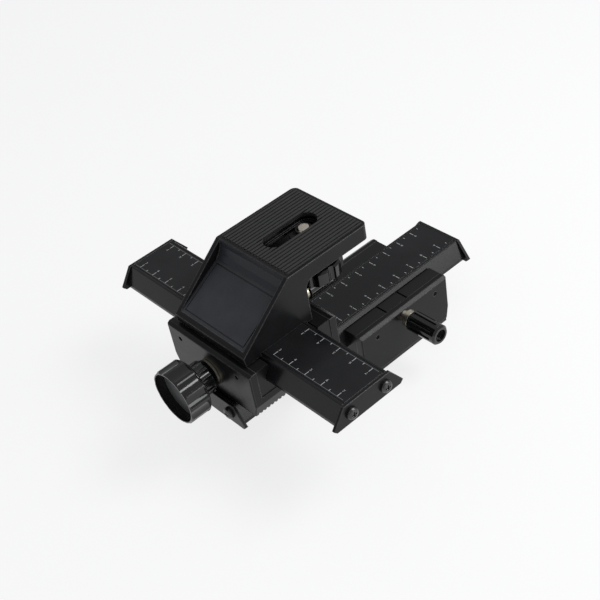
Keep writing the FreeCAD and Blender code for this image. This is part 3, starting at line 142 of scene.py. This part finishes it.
class Look:
    """A material under construction: one Principled shader and the nodes that feed it."""

    def __init__(self, name, colour, roughness, metallic=0.0, specular=0.5):
        self.material = bpy.data.materials.new(name)
        self.material.use_nodes = True
        self.tree = self.material.node_tree
        self.shader = self.tree.nodes["Principled BSDF"]
        self.set("Base Color", (*colour, 1.0))
        self.set("Roughness", roughness)
        self.set("Metallic", metallic)
        self.set("Specular IOR Level", specular)
        self.normal = None
        self.place = self.add("ShaderNodeTexCoord").outputs["Object"]

    def set(self, socket, number):
        self.shader.inputs[socket].default_value = number

    def add(self, kind, **settings):
        item = self.tree.nodes.new(kind)
        for name, setting in settings.items():
            setattr(item, name, setting)
        return item

    def link(self, source, target):
        self.tree.links.new(source, target)

    def stretched(self, scale, rotation=(0, 0, 0)):
        """Object coordinates with a scale of their own along each axis."""
        mapping = self.add("ShaderNodeMapping")
        mapping.inputs["Scale"].default_value = scale
        mapping.inputs["Rotation"].default_value = rotation
        self.link(self.place, mapping.inputs["Vector"])
        return mapping.outputs["Vector"]

    def noise(self, scale, detail=3.0, roughness=0.5, place=None):
        texture = self.add("ShaderNodeTexNoise")
        texture.inputs["Scale"].default_value = scale
        texture.inputs["Detail"].default_value = detail
        texture.inputs["Roughness"].default_value = roughness
        self.link(place or self.place, texture.inputs["Vector"])
        return texture.outputs["Fac"]

    def cells(self, scale, feature="F1"):
        texture = self.add("ShaderNodeTexVoronoi", feature=feature)
        texture.inputs["Scale"].default_value = scale
        self.link(self.place, texture.inputs["Vector"])
        return texture.outputs["Distance"]

    def span(self, source, low, high, to_low=0.0, to_high=1.0):
        """Map a value's range onto another one, clamped."""
        item = self.add("ShaderNodeMapRange")
        for socket, number in (("From Min", low), ("From Max", high),
                               ("To Min", to_low), ("To Max", to_high)):
            item.inputs[socket].default_value = number
        self.link(source, item.inputs["Value"])
        return item.outputs["Result"]

    def math(self, operation, first, second=0.0):
        item = self.add("ShaderNodeMath", operation=operation)
        for index, source in enumerate((first, second)):
            if isinstance(source, (int, float)):
                item.inputs[index].default_value = source
            else:
                self.link(source, item.inputs[index])
        return item.outputs[0]

    def tint(self, mask, colour):
        """Mix another colour over the base colour where the mask is high."""
        mix = self.add("ShaderNodeMix", data_type="RGBA")
        target = self.shader.inputs["Base Color"]
        if target.is_linked:
            self.link(target.links[0].from_socket, mix.inputs["A"])
        else:
            mix.inputs["A"].default_value = target.default_value
        mix.inputs["B"].default_value = (*colour, 1.0)
        self.link(mask, mix.inputs["Factor"])
        self.link(mix.outputs["Result"], target)

    def rough(self, mask, low, high):
        """Let the roughness follow a mask from 0 to 1."""
        self.link(self.span(mask, 0.0, 1.0, low, high), self.shader.inputs["Roughness"])

    def round_edges(self, radius):
        """Soften sharp edges in the shading, and give back a mask of those edges."""
        bevel = self.add("ShaderNodeBevel", samples=BEVEL_SAMPLES)
        bevel.inputs["Radius"].default_value = radius
        self.normal = bevel.outputs["Normal"]
        true_normal = self.add("ShaderNodeNewGeometry").outputs["True Normal"]
        dot = self.add("ShaderNodeVectorMath", operation="DOT_PRODUCT")
        self.link(bevel.outputs["Normal"], dot.inputs[0])
        self.link(true_normal, dot.inputs[1])
        return self.span(dot.outputs["Value"], FLAT_COSINE, EDGE_COSINE)

    def bump(self, height, distance, strength=1.0):
        item = self.add("ShaderNodeBump")
        item.inputs["Strength"].default_value = strength
        item.inputs["Distance"].default_value = distance
        self.link(height, item.inputs["Height"])
        if self.normal is not None:
            self.link(self.normal, item.inputs["Normal"])
        self.normal = item.outputs["Normal"]

    def finish(self):
        if self.normal is not None:
            self.link(self.normal, self.shader.inputs["Normal"])
        return self.material

    def zone(self, origin, spans):
        """Mask of a block: each span is a direction and its two limits, measured from a point."""
        offset = self.add("ShaderNodeVectorMath", operation="SUBTRACT")
        self.link(self.place, offset.inputs[0])
        offset.inputs[1].default_value = origin
        mask = 1.0
        for direction, low, high in spans:
            dot = self.add("ShaderNodeVectorMath", operation="DOT_PRODUCT")
            self.link(offset.outputs[0], dot.inputs[0])
            dot.inputs[1].default_value = direction
            for operation, limit in (("GREATER_THAN", low), ("LESS_THAN", high)):
                mask = self.math("MULTIPLY", self.math(operation, dot.outputs["Value"], limit), mask)
        return mask

    def around(self, centre, axis):
        """Angle in turns, distance and height about an axis through a point."""
        across = [index for index in range(3) if index != axis]
        split = self.add("ShaderNodeSeparateXYZ")
        self.link(self.place, split.inputs[0])
        first = self.math("SUBTRACT", split.outputs[across[0]], centre[across[0]])
        second = self.math("SUBTRACT", split.outputs[across[1]], centre[across[1]])
        height = self.math("SUBTRACT", split.outputs[axis], centre[axis])
        angle = self.math("DIVIDE", self.math("ARCTAN2", second, first), 2 * math.pi)
        squares = self.math("ADD", self.math("MULTIPLY", first, first),
                            self.math("MULTIPLY", second, second))
        return angle, self.math("SQRT", squares), height


# ---------------------------------------------------------------- materials

# Painted light in the bracket's tray, and painted shade on the walls of its slot
TRAY_PAINTED_LIGHT = (0.027, 0.0284, 0.0335)
SLOT_PAINTED_SHADE = (0.0012, 0.0012, 0.0013)
RING_PITCH = 0.11 * MM          # of the rings on turned metal
GLOW_SHARE = 0.76               # of the floor, to the camera and in reflections
SLOPE_RUN = 31.1 * MM           # of the bracket's sloping front
SLOPE_RISE = 25.2 * MM
SLOPE_LENGTH = math.hypot(SLOPE_RUN, SLOPE_RISE)
TRAY_START = 1.5 * MM           # up the slope from the front edge
TRAY_HALF = 21.9 * MM
TRAY_DEPTHS = (0.3 * MM, 5.5 * MM)
SLOT_HALF = (6.0 * MM, 15.5 * MM)
SLOT_BACK = 23.7 * MM           # the slot's middle, behind the brow
SLOT_HEIGHTS = (-5 * MM, -0.15 * MM)


def tray_zone(look):
    """Mask of the tray in the bracket's sloping front."""
    low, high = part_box("bracket")
    slope = Vector((0, SLOPE_RUN, SLOPE_RISE)) / SLOPE_LENGTH
    inwards = Vector((0, SLOPE_RISE, -SLOPE_RUN)) / SLOPE_LENGTH
    origin = Vector(((low.x + high.x) / 2, low.y, high.z - SLOPE_RISE))
    return look.zone(origin, (((1, 0, 0), -TRAY_HALF, TRAY_HALF), (slope, TRAY_START, SLOPE_LENGTH),
                              (inwards, *TRAY_DEPTHS)))


def slot_zone(look, top):
    """Mask of the slot's walls, below a height."""
    low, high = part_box("bracket")
    origin = Vector(((low.x + high.x) / 2, low.y + SLOPE_RUN + SLOT_BACK, top))
    return look.zone(origin, (((1, 0, 0), -SLOT_HALF[0], SLOT_HALF[0]),
                              ((0, 1, 0), -SLOT_HALF[1], SLOT_HALF[1]), ((0, 0, 1), *SLOT_HEIGHTS)))


def black_casting(name):
    """Die-cast alloy with a fine satin black coat and a painted highlight along its edges.

    The bracket has painted light in its tray and painted shade in its slot.
    """
    look = Look(name, (0.0048, 0.0048, 0.0054), 0.30, specular=0.19)
    edges = look.round_edges(0.7 * MM)
    edge_highlight = look.math("MULTIPLY", edges, look.span(look.noise(900, 4), 0.35, 0.65, 0.5, 1.0))
    cloud = look.noise(60, 5, 0.6)
    look.tint(look.span(cloud, 0.35, 0.75), (0.0078, 0.0079, 0.0088))
    # painted highlight along the edges, broken up by noise
    look.tint(look.math("MULTIPLY", edge_highlight, 0.7), (0.13, 0.13, 0.135))
    dust = look.span(look.noise(5200, 1), 0.74, 0.80)
    look.tint(look.math("MULTIPLY", dust, 0.3), (0.12, 0.12, 0.12))
    look.rough(look.noise(240, 4, 0.65), 0.24, 0.38)
    look.bump(look.noise(3800, 2), 0.02 * MM, 0.5)
    look.bump(look.noise(420, 3), 0.03 * MM, 0.25)
    if name == "bracket_casting":
        # painted light in the tray, painted shade on the slot's walls
        look.tint(tray_zone(look), TRAY_PAINTED_LIGHT)
        look.tint(slot_zone(look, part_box("bracket")[1].z), SLOT_PAINTED_SHADE)
    return look.finish()


def black_rail(name, along):
    """Extruded rail, anodised black, with fine drawing lines along it."""
    look = Look(name, (0.0056, 0.0057, 0.0065), 0.20, specular=0.25)
    edges = look.round_edges(0.25 * MM)
    drawn = [9000.0, 9000.0, 9000.0]
    drawn[along] = 60.0
    lines = look.noise(1.0, 3, 0.6, look.stretched(drawn))
    look.tint(look.span(look.noise(45, 5), 0.4, 0.75), (0.0105, 0.0106, 0.012))
    # painted highlight along the edges
    look.tint(look.math("MULTIPLY", edges, 0.4), (0.06, 0.06, 0.063))
    dust = look.span(look.noise(4300, 1), 0.745, 0.80)
    look.tint(look.math("MULTIPLY", dust, 0.4), (0.18, 0.18, 0.18))
    look.rough(lines, 0.15, 0.28)
    look.bump(lines, 0.006 * MM, 0.35)
    return look.finish()


def gloss_knob():
    """Glossy black moulding with faint ripples and hair scratches."""
    look = Look("gloss_knob", (0.005, 0.005, 0.0054), 0.10, specular=0.5)
    edges = look.round_edges(0.12 * MM)
    # painted highlight along the edges
    look.tint(look.math("MULTIPLY", edges, 0.3), (0.04, 0.04, 0.042))
    scratches = look.noise(1.0, 2, 0.5, look.stretched((5200, 900, 5200), (0.4, 0.3, 0.2)))
    look.rough(look.span(scratches, 0.4, 0.8), 0.07, 0.16)
    look.bump(look.noise(170, 2), 0.05 * MM, 0.10)
    look.bump(scratches, 0.002 * MM, 0.2)
    return look.finish()


def grey_disc():
    """Dark grey disc with a fine grain."""
    look = Look("grey_disc", (0.085, 0.087, 0.088), 0.42, metallic=0.25)
    look.tint(look.span(look.noise(700, 4), 0.45, 0.7), (0.11, 0.112, 0.112))
    look.rough(look.noise(900, 3), 0.36, 0.55)
    look.bump(look.noise(2600, 2), 0.015 * MM, 0.5)
    return look.finish()


def label_face():
    """Plate with a fine pebbled face."""
    look = Look("label_face", (0.023, 0.0242, 0.0290), 0.46, specular=0.36)
    edges = look.round_edges(0.2 * MM)
    pebbles = look.cells(1500, "SMOOTH_F1")
    look.tint(look.span(look.noise(80, 4), 0.4, 0.7), (0.031, 0.0325, 0.0385))
    # painted highlight along the edges
    look.tint(look.math("MULTIPLY", edges, 0.3), (0.05, 0.05, 0.055))
    look.rough(look.noise(600, 3), 0.38, 0.55)
    look.bump(pebbles, 0.10 * MM, 0.5)
    return look.finish()


def rubber():
    """Dull black rubber with a trace of dust, a painted highlight along its edges and painted shade on the
    walls of the slot.
    """
    look = Look("rubber", (0.023, 0.023, 0.0235), 0.66, specular=0.4)
    edges = look.round_edges(0.12 * MM)
    dust = look.span(look.noise(2300, 3), 0.5, 0.75)
    look.tint(look.math("MULTIPLY", dust, 0.4), (0.05, 0.05, 0.049))
    # painted highlight along the edges
    look.tint(look.math("MULTIPLY", edges, 0.3), (0.05, 0.05, 0.05))
    look.rough(look.noise(500, 3), 0.6, 0.85)
    look.bump(look.noise(2900, 3), 0.03 * MM, 0.6)
    # painted shade on the walls of the slot
    look.tint(slot_zone(look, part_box("platform_pad")[1].z), SLOT_PAINTED_SHADE)
    return look.finish()


def black_gib(name, along):
    """Black acetal strip with milling lines."""
    look = Look(name, (0.0048, 0.0048, 0.0052), 0.34, specular=0.22)
    edges = look.round_edges(0.15 * MM)
    milled = [2600.0, 2600.0, 2600.0]
    milled[along] = 420.0
    lines = look.noise(1.0, 3, 0.6, look.stretched(milled))
    look.tint(look.math("MULTIPLY", lines, 0.5), (0.011, 0.011, 0.012))
    # painted highlight along the edges
    look.tint(look.math("MULTIPLY", edges, 0.35), (0.06, 0.06, 0.06))
    look.rough(lines, 0.28, 0.45)
    look.bump(lines, 0.01 * MM, 0.5)
    return look.finish()


def turned_metal(name, colour, roughness, centre, axis):
    """Turned metal with rings about its axis."""
    look = Look(name, colour, roughness, metallic=1.0)
    _, radius, height = look.around(centre, axis)
    reach = look.math("ADD", radius, height)
    groove = look.math("SINE", look.math("MULTIPLY", reach, 2 * math.pi / RING_PITCH))
    look.round_edges(0.12 * MM)
    stain = look.span(look.noise(380, 5), 0.42, 0.7)
    look.tint(look.math("MULTIPLY", stain, 0.45), tuple(0.55 * part for part in colour))
    look.rough(look.noise(1500, 3), roughness * 0.75, roughness * 1.35)
    look.bump(look.span(groove, -1.0, 1.0), 0.004 * MM, 0.4)
    return look.finish()


def threaded_socket(name, colour, centre, pitch):
    """Brass insert: turned face, and a thread's helix in its bore."""
    look = Look(name, colour, 0.28, metallic=1.0)
    angle, _, height = look.around(centre, 2)
    turn = look.math("ADD", look.math("DIVIDE", height, pitch), angle)
    ridge = look.math("PINGPONG", turn, 0.5)
    look.rough(look.noise(1300, 3), 0.2, 0.42)
    stain = look.span(look.noise(500, 4), 0.45, 0.7)
    look.tint(look.math("MULTIPLY", stain, 0.4), tuple(0.5 * part for part in colour))
    look.bump(ridge, 0.45 * pitch, 0.8)
    return look.finish()


def sintered_bronze():
    """Bronze with dark pores."""
    look = Look("sintered_bronze", (0.42, 0.27, 0.13), 0.5, metallic=1.0)
    pores = look.span(look.cells(3600), 0.0, 0.35)
    look.tint(look.math("SUBTRACT", 1.0, pores), (0.12, 0.07, 0.04))
    look.rough(look.noise(1200, 3), 0.4, 0.65)
    look.bump(pores, 0.02 * MM, 0.5)
    return look.finish()


def milled_steel():
    """Plain steel with milling lines and dull patches."""
    look = Look("milled_steel", (0.42, 0.42, 0.43), 0.36, metallic=1.0)
    look.round_edges(0.06 * MM)
    lines = look.noise(1.0, 3, 0.6, look.stretched((5200, 5200, 700)))
    dull = look.span(look.noise(300, 5), 0.45, 0.7)
    look.tint(look.math("MULTIPLY", dull, 0.5), (0.2, 0.2, 0.205))
    look.rough(lines, 0.28, 0.5)
    look.bump(lines, 0.008 * MM, 0.4)
    return look.finish()


def blackened_steel():
    """Screw heads: blackened steel, bright where the coat has rubbed off."""
    look = Look("blackened_steel", (0.06, 0.06, 0.062), 0.32, metallic=0.9)
    edges = look.round_edges(0.14 * MM)
    rubbed = look.math("MULTIPLY", edges, look.span(look.noise(1500, 3), 0.35, 0.65))
    look.tint(look.math("MULTIPLY", rubbed, 0.7), (0.34, 0.34, 0.33))
    dust = look.span(look.noise(700, 4), 0.5, 0.75)
    look.tint(look.math("MULTIPLY", dust, 0.4), (0.14, 0.135, 0.125))
    look.rough(look.noise(1700, 3), 0.22, 0.44)
    look.bump(look.noise(3000, 2), 0.01 * MM, 0.4)
    return look.finish()


def black_nylon():
    """Black nylon with a cloudy face."""
    look = Look("black_nylon", (0.006, 0.006, 0.006), 0.5, specular=0.3)
    look.round_edges(0.12 * MM)
    look.tint(look.span(look.noise(900, 4), 0.4, 0.7), (0.010, 0.010, 0.010))
    look.rough(look.noise(800, 3), 0.4, 0.62)
    look.bump(look.noise(2400, 2), 0.015 * MM, 0.5)
    return look.finish()


def scale_paint(name, colour):
    """Pale print, thin in places."""
    look = Look(name, colour, 0.55)
    look.tint(look.span(look.noise(2600, 3), 0.45, 0.7), tuple(0.6 * part for part in colour))
    look.rough(look.noise(1500, 2), 0.45, 0.65)
    look.bump(look.noise(3600, 2), 0.01 * MM, 0.4)
    return look.finish()


def paper_floor():
    """White paper that glows to the camera, in reflections and through glass, so its shadows stay pale."""
    look = Look("paper_floor", (0.90, 0.905, 0.91), 0.7, specular=0.2)
    look.tint(look.span(look.noise(6, 3), 0.4, 0.7), (0.885, 0.89, 0.90))
    look.bump(look.noise(900, 3), 0.02 * MM, 0.2)
    path = look.add("ShaderNodeLightPath")
    seen = look.math("MAXIMUM", path.outputs["Is Camera Ray"], path.outputs["Is Glossy Ray"])
    seen = look.math("MAXIMUM", seen, path.outputs["Is Transmission Ray"])
    glow = look.add("ShaderNodeEmission")
    glow.inputs["Strength"].default_value = 1.0
    mix = look.add("ShaderNodeMixShader")
    look.link(look.math("MULTIPLY", seen, GLOW_SHARE), mix.inputs[0])
    look.link(look.shader.outputs[0], mix.inputs[1])
    look.link(glow.outputs[0], mix.inputs[2])
    look.link(mix.outputs[0], look.tree.nodes["Material Output"].inputs["Surface"])
    return look.finish()


# ---------------------------------------------------------------- placing materials

ALONG = {"lower": 1, "upper": 0}            # row axis along each stage's rail
BRASS = (0.56, 0.52, 0.42)
YELLOW_BRASS = (0.72, 0.52, 0.24)
STEEL = (0.66, 0.60, 0.51)
SMALL_PITCH = INCH / 20                     # 1/4 inch camera thread
LARGE_PITCH = INCH / 16                     # 3/8 inch camera thread
WASHER_ROUGHNESS = 0.3


def middle(name):
    """Middle of a node's box."""
    low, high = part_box(name)
    return (low + high) / 2


def thinnest(name):
    """Axis along which a node is shortest."""
    low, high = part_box(name)
    size = high - low
    return min(range(3), key=lambda axis: size[axis])


def paint(name, material):
    """Give a node one material."""
    data = nodes[name].data
    data.materials.clear()
    data.materials.append(material)


def paint_nodes():
    """Give every node of the frame its material."""
    casting = black_casting("black_casting")
    knob = gloss_knob()
    disc = grey_disc()
    soft = rubber()
    bronze = sintered_bronze()
    steel = milled_steel()
    black_steel = blackened_steel()
    for stage in STAGES:
        rail = black_rail(f"black_rail_{stage}", ALONG[stage])
        gib = black_gib(f"black_gib_{stage}", ALONG[stage])
        paint(f"{stage}_carriage", casting)
        paint(f"{stage}_rail", rail)
        for part in ("gib_plain", "gib_lock", "clamp_shoe"):
            paint(f"{stage}_{part}", gib)
        for part in ("drive_knob", "lock_knob"):
            paint(f"{stage}_{part}", knob)
        for part in ("gib_screws", "end_screws"):
            paint(f"{stage}_{part}", black_steel)
        for part in ("rack", "drive_shaft", "lock_stud"):
            paint(f"{stage}_{part}", steel)
        paint(f"{stage}_knob_cap", disc)
        paint(f"{stage}_drive_bushes", bronze)
        for part in ("drive_washer", "lock_washer", "pinion"):
            name = f"{stage}_{part}"
            brass = turned_metal(f"pale_brass_{name}", BRASS, WASHER_ROUGHNESS,
                                 middle(name), thinnest(name))
            paint(name, brass)
    for name in ("lower_end_plate_back", "lower_end_plate_front", "upper_end_plate_left",
                 "upper_end_plate_right"):
        paint(name, casting)
    paint("bracket", black_casting("bracket_casting"))
    for name in ("cross_mount_screws", "bracket_screws"):
        paint(name, black_steel)
    paint("base_pad", soft)
    paint("platform_pad", soft)
    paint("label_plate", label_face())
    paint("thumb_wheel", knob)
    paint("slot_guide", black_nylon())
    paint("thrust_washer", turned_metal("thrust_washer_brass", BRASS, WASHER_ROUGHNESS,
                                        middle("thrust_washer"), 2))
    paint("camera_screw", steel)
    for name, pitch in (("tripod_bush_small", SMALL_PITCH), ("tripod_bush_large", LARGE_PITCH)):
        paint(name, threaded_socket(f"{name}_brass", YELLOW_BRASS, middle(name), pitch))


# ---------------------------------------------------------------- mesh helpers

def shape_mesh(name, shape):
    """Mesh of a finished bmesh, which is freed."""
    mesh = bpy.data.meshes.new(name)
    shape.to_mesh(mesh)
    shape.free()
    return mesh


def new_piece(name, mesh, material, body):
    """Object with one material that rides on a body."""
    piece = bpy.data.objects.new(name, mesh)
    bpy.context.scene.collection.objects.link(piece)
    mesh.materials.clear()
    mesh.materials.append(material)
    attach(piece, body)
    return piece


# ---------------------------------------------------------------- scales

PRINT_RISE = 0.03 * MM          # print above the rail's top
PRINT_HEIGHT = 0.03 * MM
LINE_WIDTH = 0.32 * MM
BASELINE_WIDTH = 0.2 * MM
BASELINE_END = 3.6 * MM         # past the last line
LONG_TICK = 2.6 * MM
SHORT_TICK = 1.1 * MM
SCALE_EDGE = 10.6 * MM          # outer end of the lines, from the rail's middle
DIGIT_SIZE = 2.0 * MM
DIGIT_HALF = 0.35               # half a digit's height, as a share of its size
DIGIT_GAP = 0.5 * MM
DIGIT_SMOOTHNESS = 3
LINE_STEP = 10 * MM
UPPER_MIDDLE = -2.2 * MM        # row x about which the upper scales are placed
UPPER_LINES = range(3, 8)
LOWER_START = -36.2 * MM        # row y of the lower scale's first line
LOWER_LINES = range(1, 10)
QUARTER_TURN = math.pi / 2
TURN = {("lower", 1): QUARTER_TURN, ("lower", -1): -QUARTER_TURN,      # of the digits, for each side
        ("upper", 1): math.pi, ("upper", -1): 0}


def add_bar(shape, along, low, high, top):
    """Flat printed bar between two corners given as (along the rail, across it)."""
    corners = []
    for u, v in ((low[0], low[1]), (high[0], low[1]), (high[0], high[1]), (low[0], high[1])):
        corners.append((u, v) if along == 0 else (v, u))
    rings = []
    for height in (top - PRINT_HEIGHT, top):
        rings.append([shape.verts.new((x, y, height)) for x, y in corners])
    for index in range(4):
        following = (index + 1) % 4
        shape.faces.new((rings[0][index], rings[0][following], rings[1][following], rings[1][index]))
    shape.faces.new(rings[1])
    shape.faces.new(rings[0][::-1])


def digits_mesh(text, place, turn):
    """Mesh of a number, its middle at a place on the rail's top, turned about Z."""
    curve = bpy.data.curves.new("digits", "FONT")
    curve.body = text
    curve.size = DIGIT_SIZE
    curve.align_x = "CENTER"
    curve.align_y = "CENTER"
    curve.extrude = PRINT_HEIGHT / 2
    curve.resolution_u = DIGIT_SMOOTHNESS
    maker = bpy.data.objects.new("digits", curve)
    bpy.context.scene.collection.objects.link(maker)
    bpy.context.view_layer.update()
    mesh = bpy.data.meshes.new_from_object(maker)
    bpy.data.objects.remove(maker)
    bpy.data.curves.remove(curve)
    mesh.transform(Matrix.Translation(place) @ Matrix.Rotation(turn, 4, "Z"))
    return mesh


def make_scale(name, stage, body, majors, halves, numbers):
    """Printed scale along both edges of a rail: lines, half lines and numbers.

    majors and halves are row coordinates along the rail.
    """
    along = ALONG[stage]
    across = 1 - along
    low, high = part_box(f"{stage}_rail")
    top = high.z + PRINT_RISE
    centre = (low[across] + high[across]) / 2
    shape = bmesh.new()
    for side in (-1, 1):
        edge = centre + side * SCALE_EDGE
        for places, length in ((majors, LONG_TICK), (halves, SHORT_TICK)):
            for place in places:
                add_bar(shape, along, (place - LINE_WIDTH / 2, min(edge, edge - side * length)),
                        (place + LINE_WIDTH / 2, max(edge, edge - side * length)), top)
        for place, number in zip(majors, numbers):
            spot = [0, 0, top - PRINT_HEIGHT / 2]
            spot[along] = place
            spot[across] = edge - side * (LONG_TICK + DIGIT_GAP + DIGIT_SIZE * DIGIT_HALF)
            mesh = digits_mesh(str(number), Vector(spot), TURN[stage, side])
            shape.from_mesh(mesh)
            bpy.data.meshes.remove(mesh)
    new_piece(name, shape_mesh(name, shape), bpy.data.materials["scale_paint"], body)


def make_baselines(name, start, end):
    """Thin printed line along both edges of the upper rail, under the lines of a scale."""
    low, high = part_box("upper_rail")
    centre = (low.y + high.y) / 2
    shape = bmesh.new()
    for side in (-1, 1):
        edge = centre + side * SCALE_EDGE
        add_bar(shape, 0, (start, edge - BASELINE_WIDTH / 2), (end, edge + BASELINE_WIDTH / 2),
                high.z + PRINT_RISE - PRINT_HEIGHT / 4)
    new_piece(name, shape_mesh(name, shape), bpy.data.materials["baseline_paint"],
              "camera_slide")


def make_scales():
    """Scales on both sides of the bracket on the upper rail, and one on the lower rail."""
    scale_paint("scale_paint", (0.40, 0.41, 0.41))
    scale_paint("baseline_paint", (0.15, 0.15, 0.155))
    for side, name in ((-1, "left"), (1, "right")):
        majors = [UPPER_MIDDLE + side * LINE_STEP * count for count in UPPER_LINES]
        halves = [place + side * LINE_STEP / 2 for place in majors[:-1]]
        make_scale(f"upper_scale_{name}", "upper", "camera_slide", majors, halves, UPPER_LINES)
        ends = sorted((majors[0] - side * LINE_WIDTH / 2, majors[-1] + side * BASELINE_END))
        make_baselines(f"upper_baseline_{name}", *ends)
    majors = [LOWER_START + LINE_STEP * index for index in range(len(LOWER_LINES))]
    halves = [place + LINE_STEP / 2 for place in majors]
    make_scale("lower_scale", "lower", "cross_slide", majors, halves, LOWER_LINES)


# ---------------------------------------------------------------- camera screw

THREAD_DEPTH = 0.62 * MM
THREAD_ROOT = 0.12              # flat at the thread's root, as a share of half a pitch
THREAD_FLANK = 0.76             # its flank, as such a share
RINGS_PER_TURN = 16
AROUND = 64
TIP_BEVEL = 0.7 * MM


def threaded_rod(name, low, high, radius, pitch):
    """Rod along Z with one helical ridge and a bevelled tip."""
    shape = bmesh.new()
    rings = []
    count = int((high.z - low.z) / pitch * RINGS_PER_TURN)
    centre = (low + high) / 2
    for index in range(count + 1):
        z = low.z + (high.z - low.z) * index / count
        ring = []
        for step in range(AROUND):
            angle = 2 * math.pi * step / AROUND
            phase = ((z - low.z) / pitch - step / AROUND) % 1.0
            flank = abs(2 * phase - 1)
            ridge = min(1.0, max(0.0, (flank - THREAD_ROOT) / THREAD_FLANK))
            reach = radius - THREAD_DEPTH * (1 - ridge)
            reach = min(reach, radius - TIP_BEVEL + max(0.0, high.z - z))
            ring.append(shape.verts.new((centre.x + reach * math.cos(angle),
                                         centre.y + reach * math.sin(angle), z)))
        rings.append(ring)
    for lower, upper in zip(rings, rings[1:]):
        for step in range(AROUND):
            following = (step + 1) % AROUND
            shape.faces.new((lower[step], lower[following], upper[following], upper[step]))
    shape.faces.new(rings[0][::-1])
    shape.faces.new(rings[-1])
    mesh = shape_mesh(name, shape)
    for polygon in mesh.polygons:
        polygon.use_smooth = len(polygon.vertices) == 4
    return mesh


def make_camera_screw():
    """Camera screw with its thread, in place of the plain one."""
    low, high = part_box("camera_screw")
    radius = (high.x - low.x) / 2
    mesh = threaded_rod("camera_screw_thread", low, high, radius, SMALL_PITCH)
    centre = (low + high) / 2
    material = turned_metal("bright_steel", STEEL, 0.22, centre, 2)
    piece = new_piece("camera_screw_thread", mesh, material, "screw")
    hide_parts("camera_screw")


# ---------------------------------------------------------------- floor

FLOOR_SIZE = 3.0
FLOOR_GAP = 0.05 * MM           # below the lowest point


def make_floor():
    """White paper just below the lowest point."""
    shape = bmesh.new()
    half = FLOOR_SIZE / 2
    height = cad_box[0][2] - FLOOR_GAP
    shape.faces.new([shape.verts.new((x, y, height))
                     for x, y in ((-half, -half), (half, -half), (half, half), (-half, half))])
    mesh = shape_mesh("floor", shape)
    mesh.materials.append(paper_floor())
    floor = bpy.data.objects.new("floor", mesh)
    bpy.context.scene.collection.objects.link(floor)


# ---------------------------------------------------------------- the whole scene

make_camera()
make_light()
paint_nodes()
make_scales()
make_camera_screw()
make_floor()
bpy.context.scene.view_settings.view_transform = "Standard"
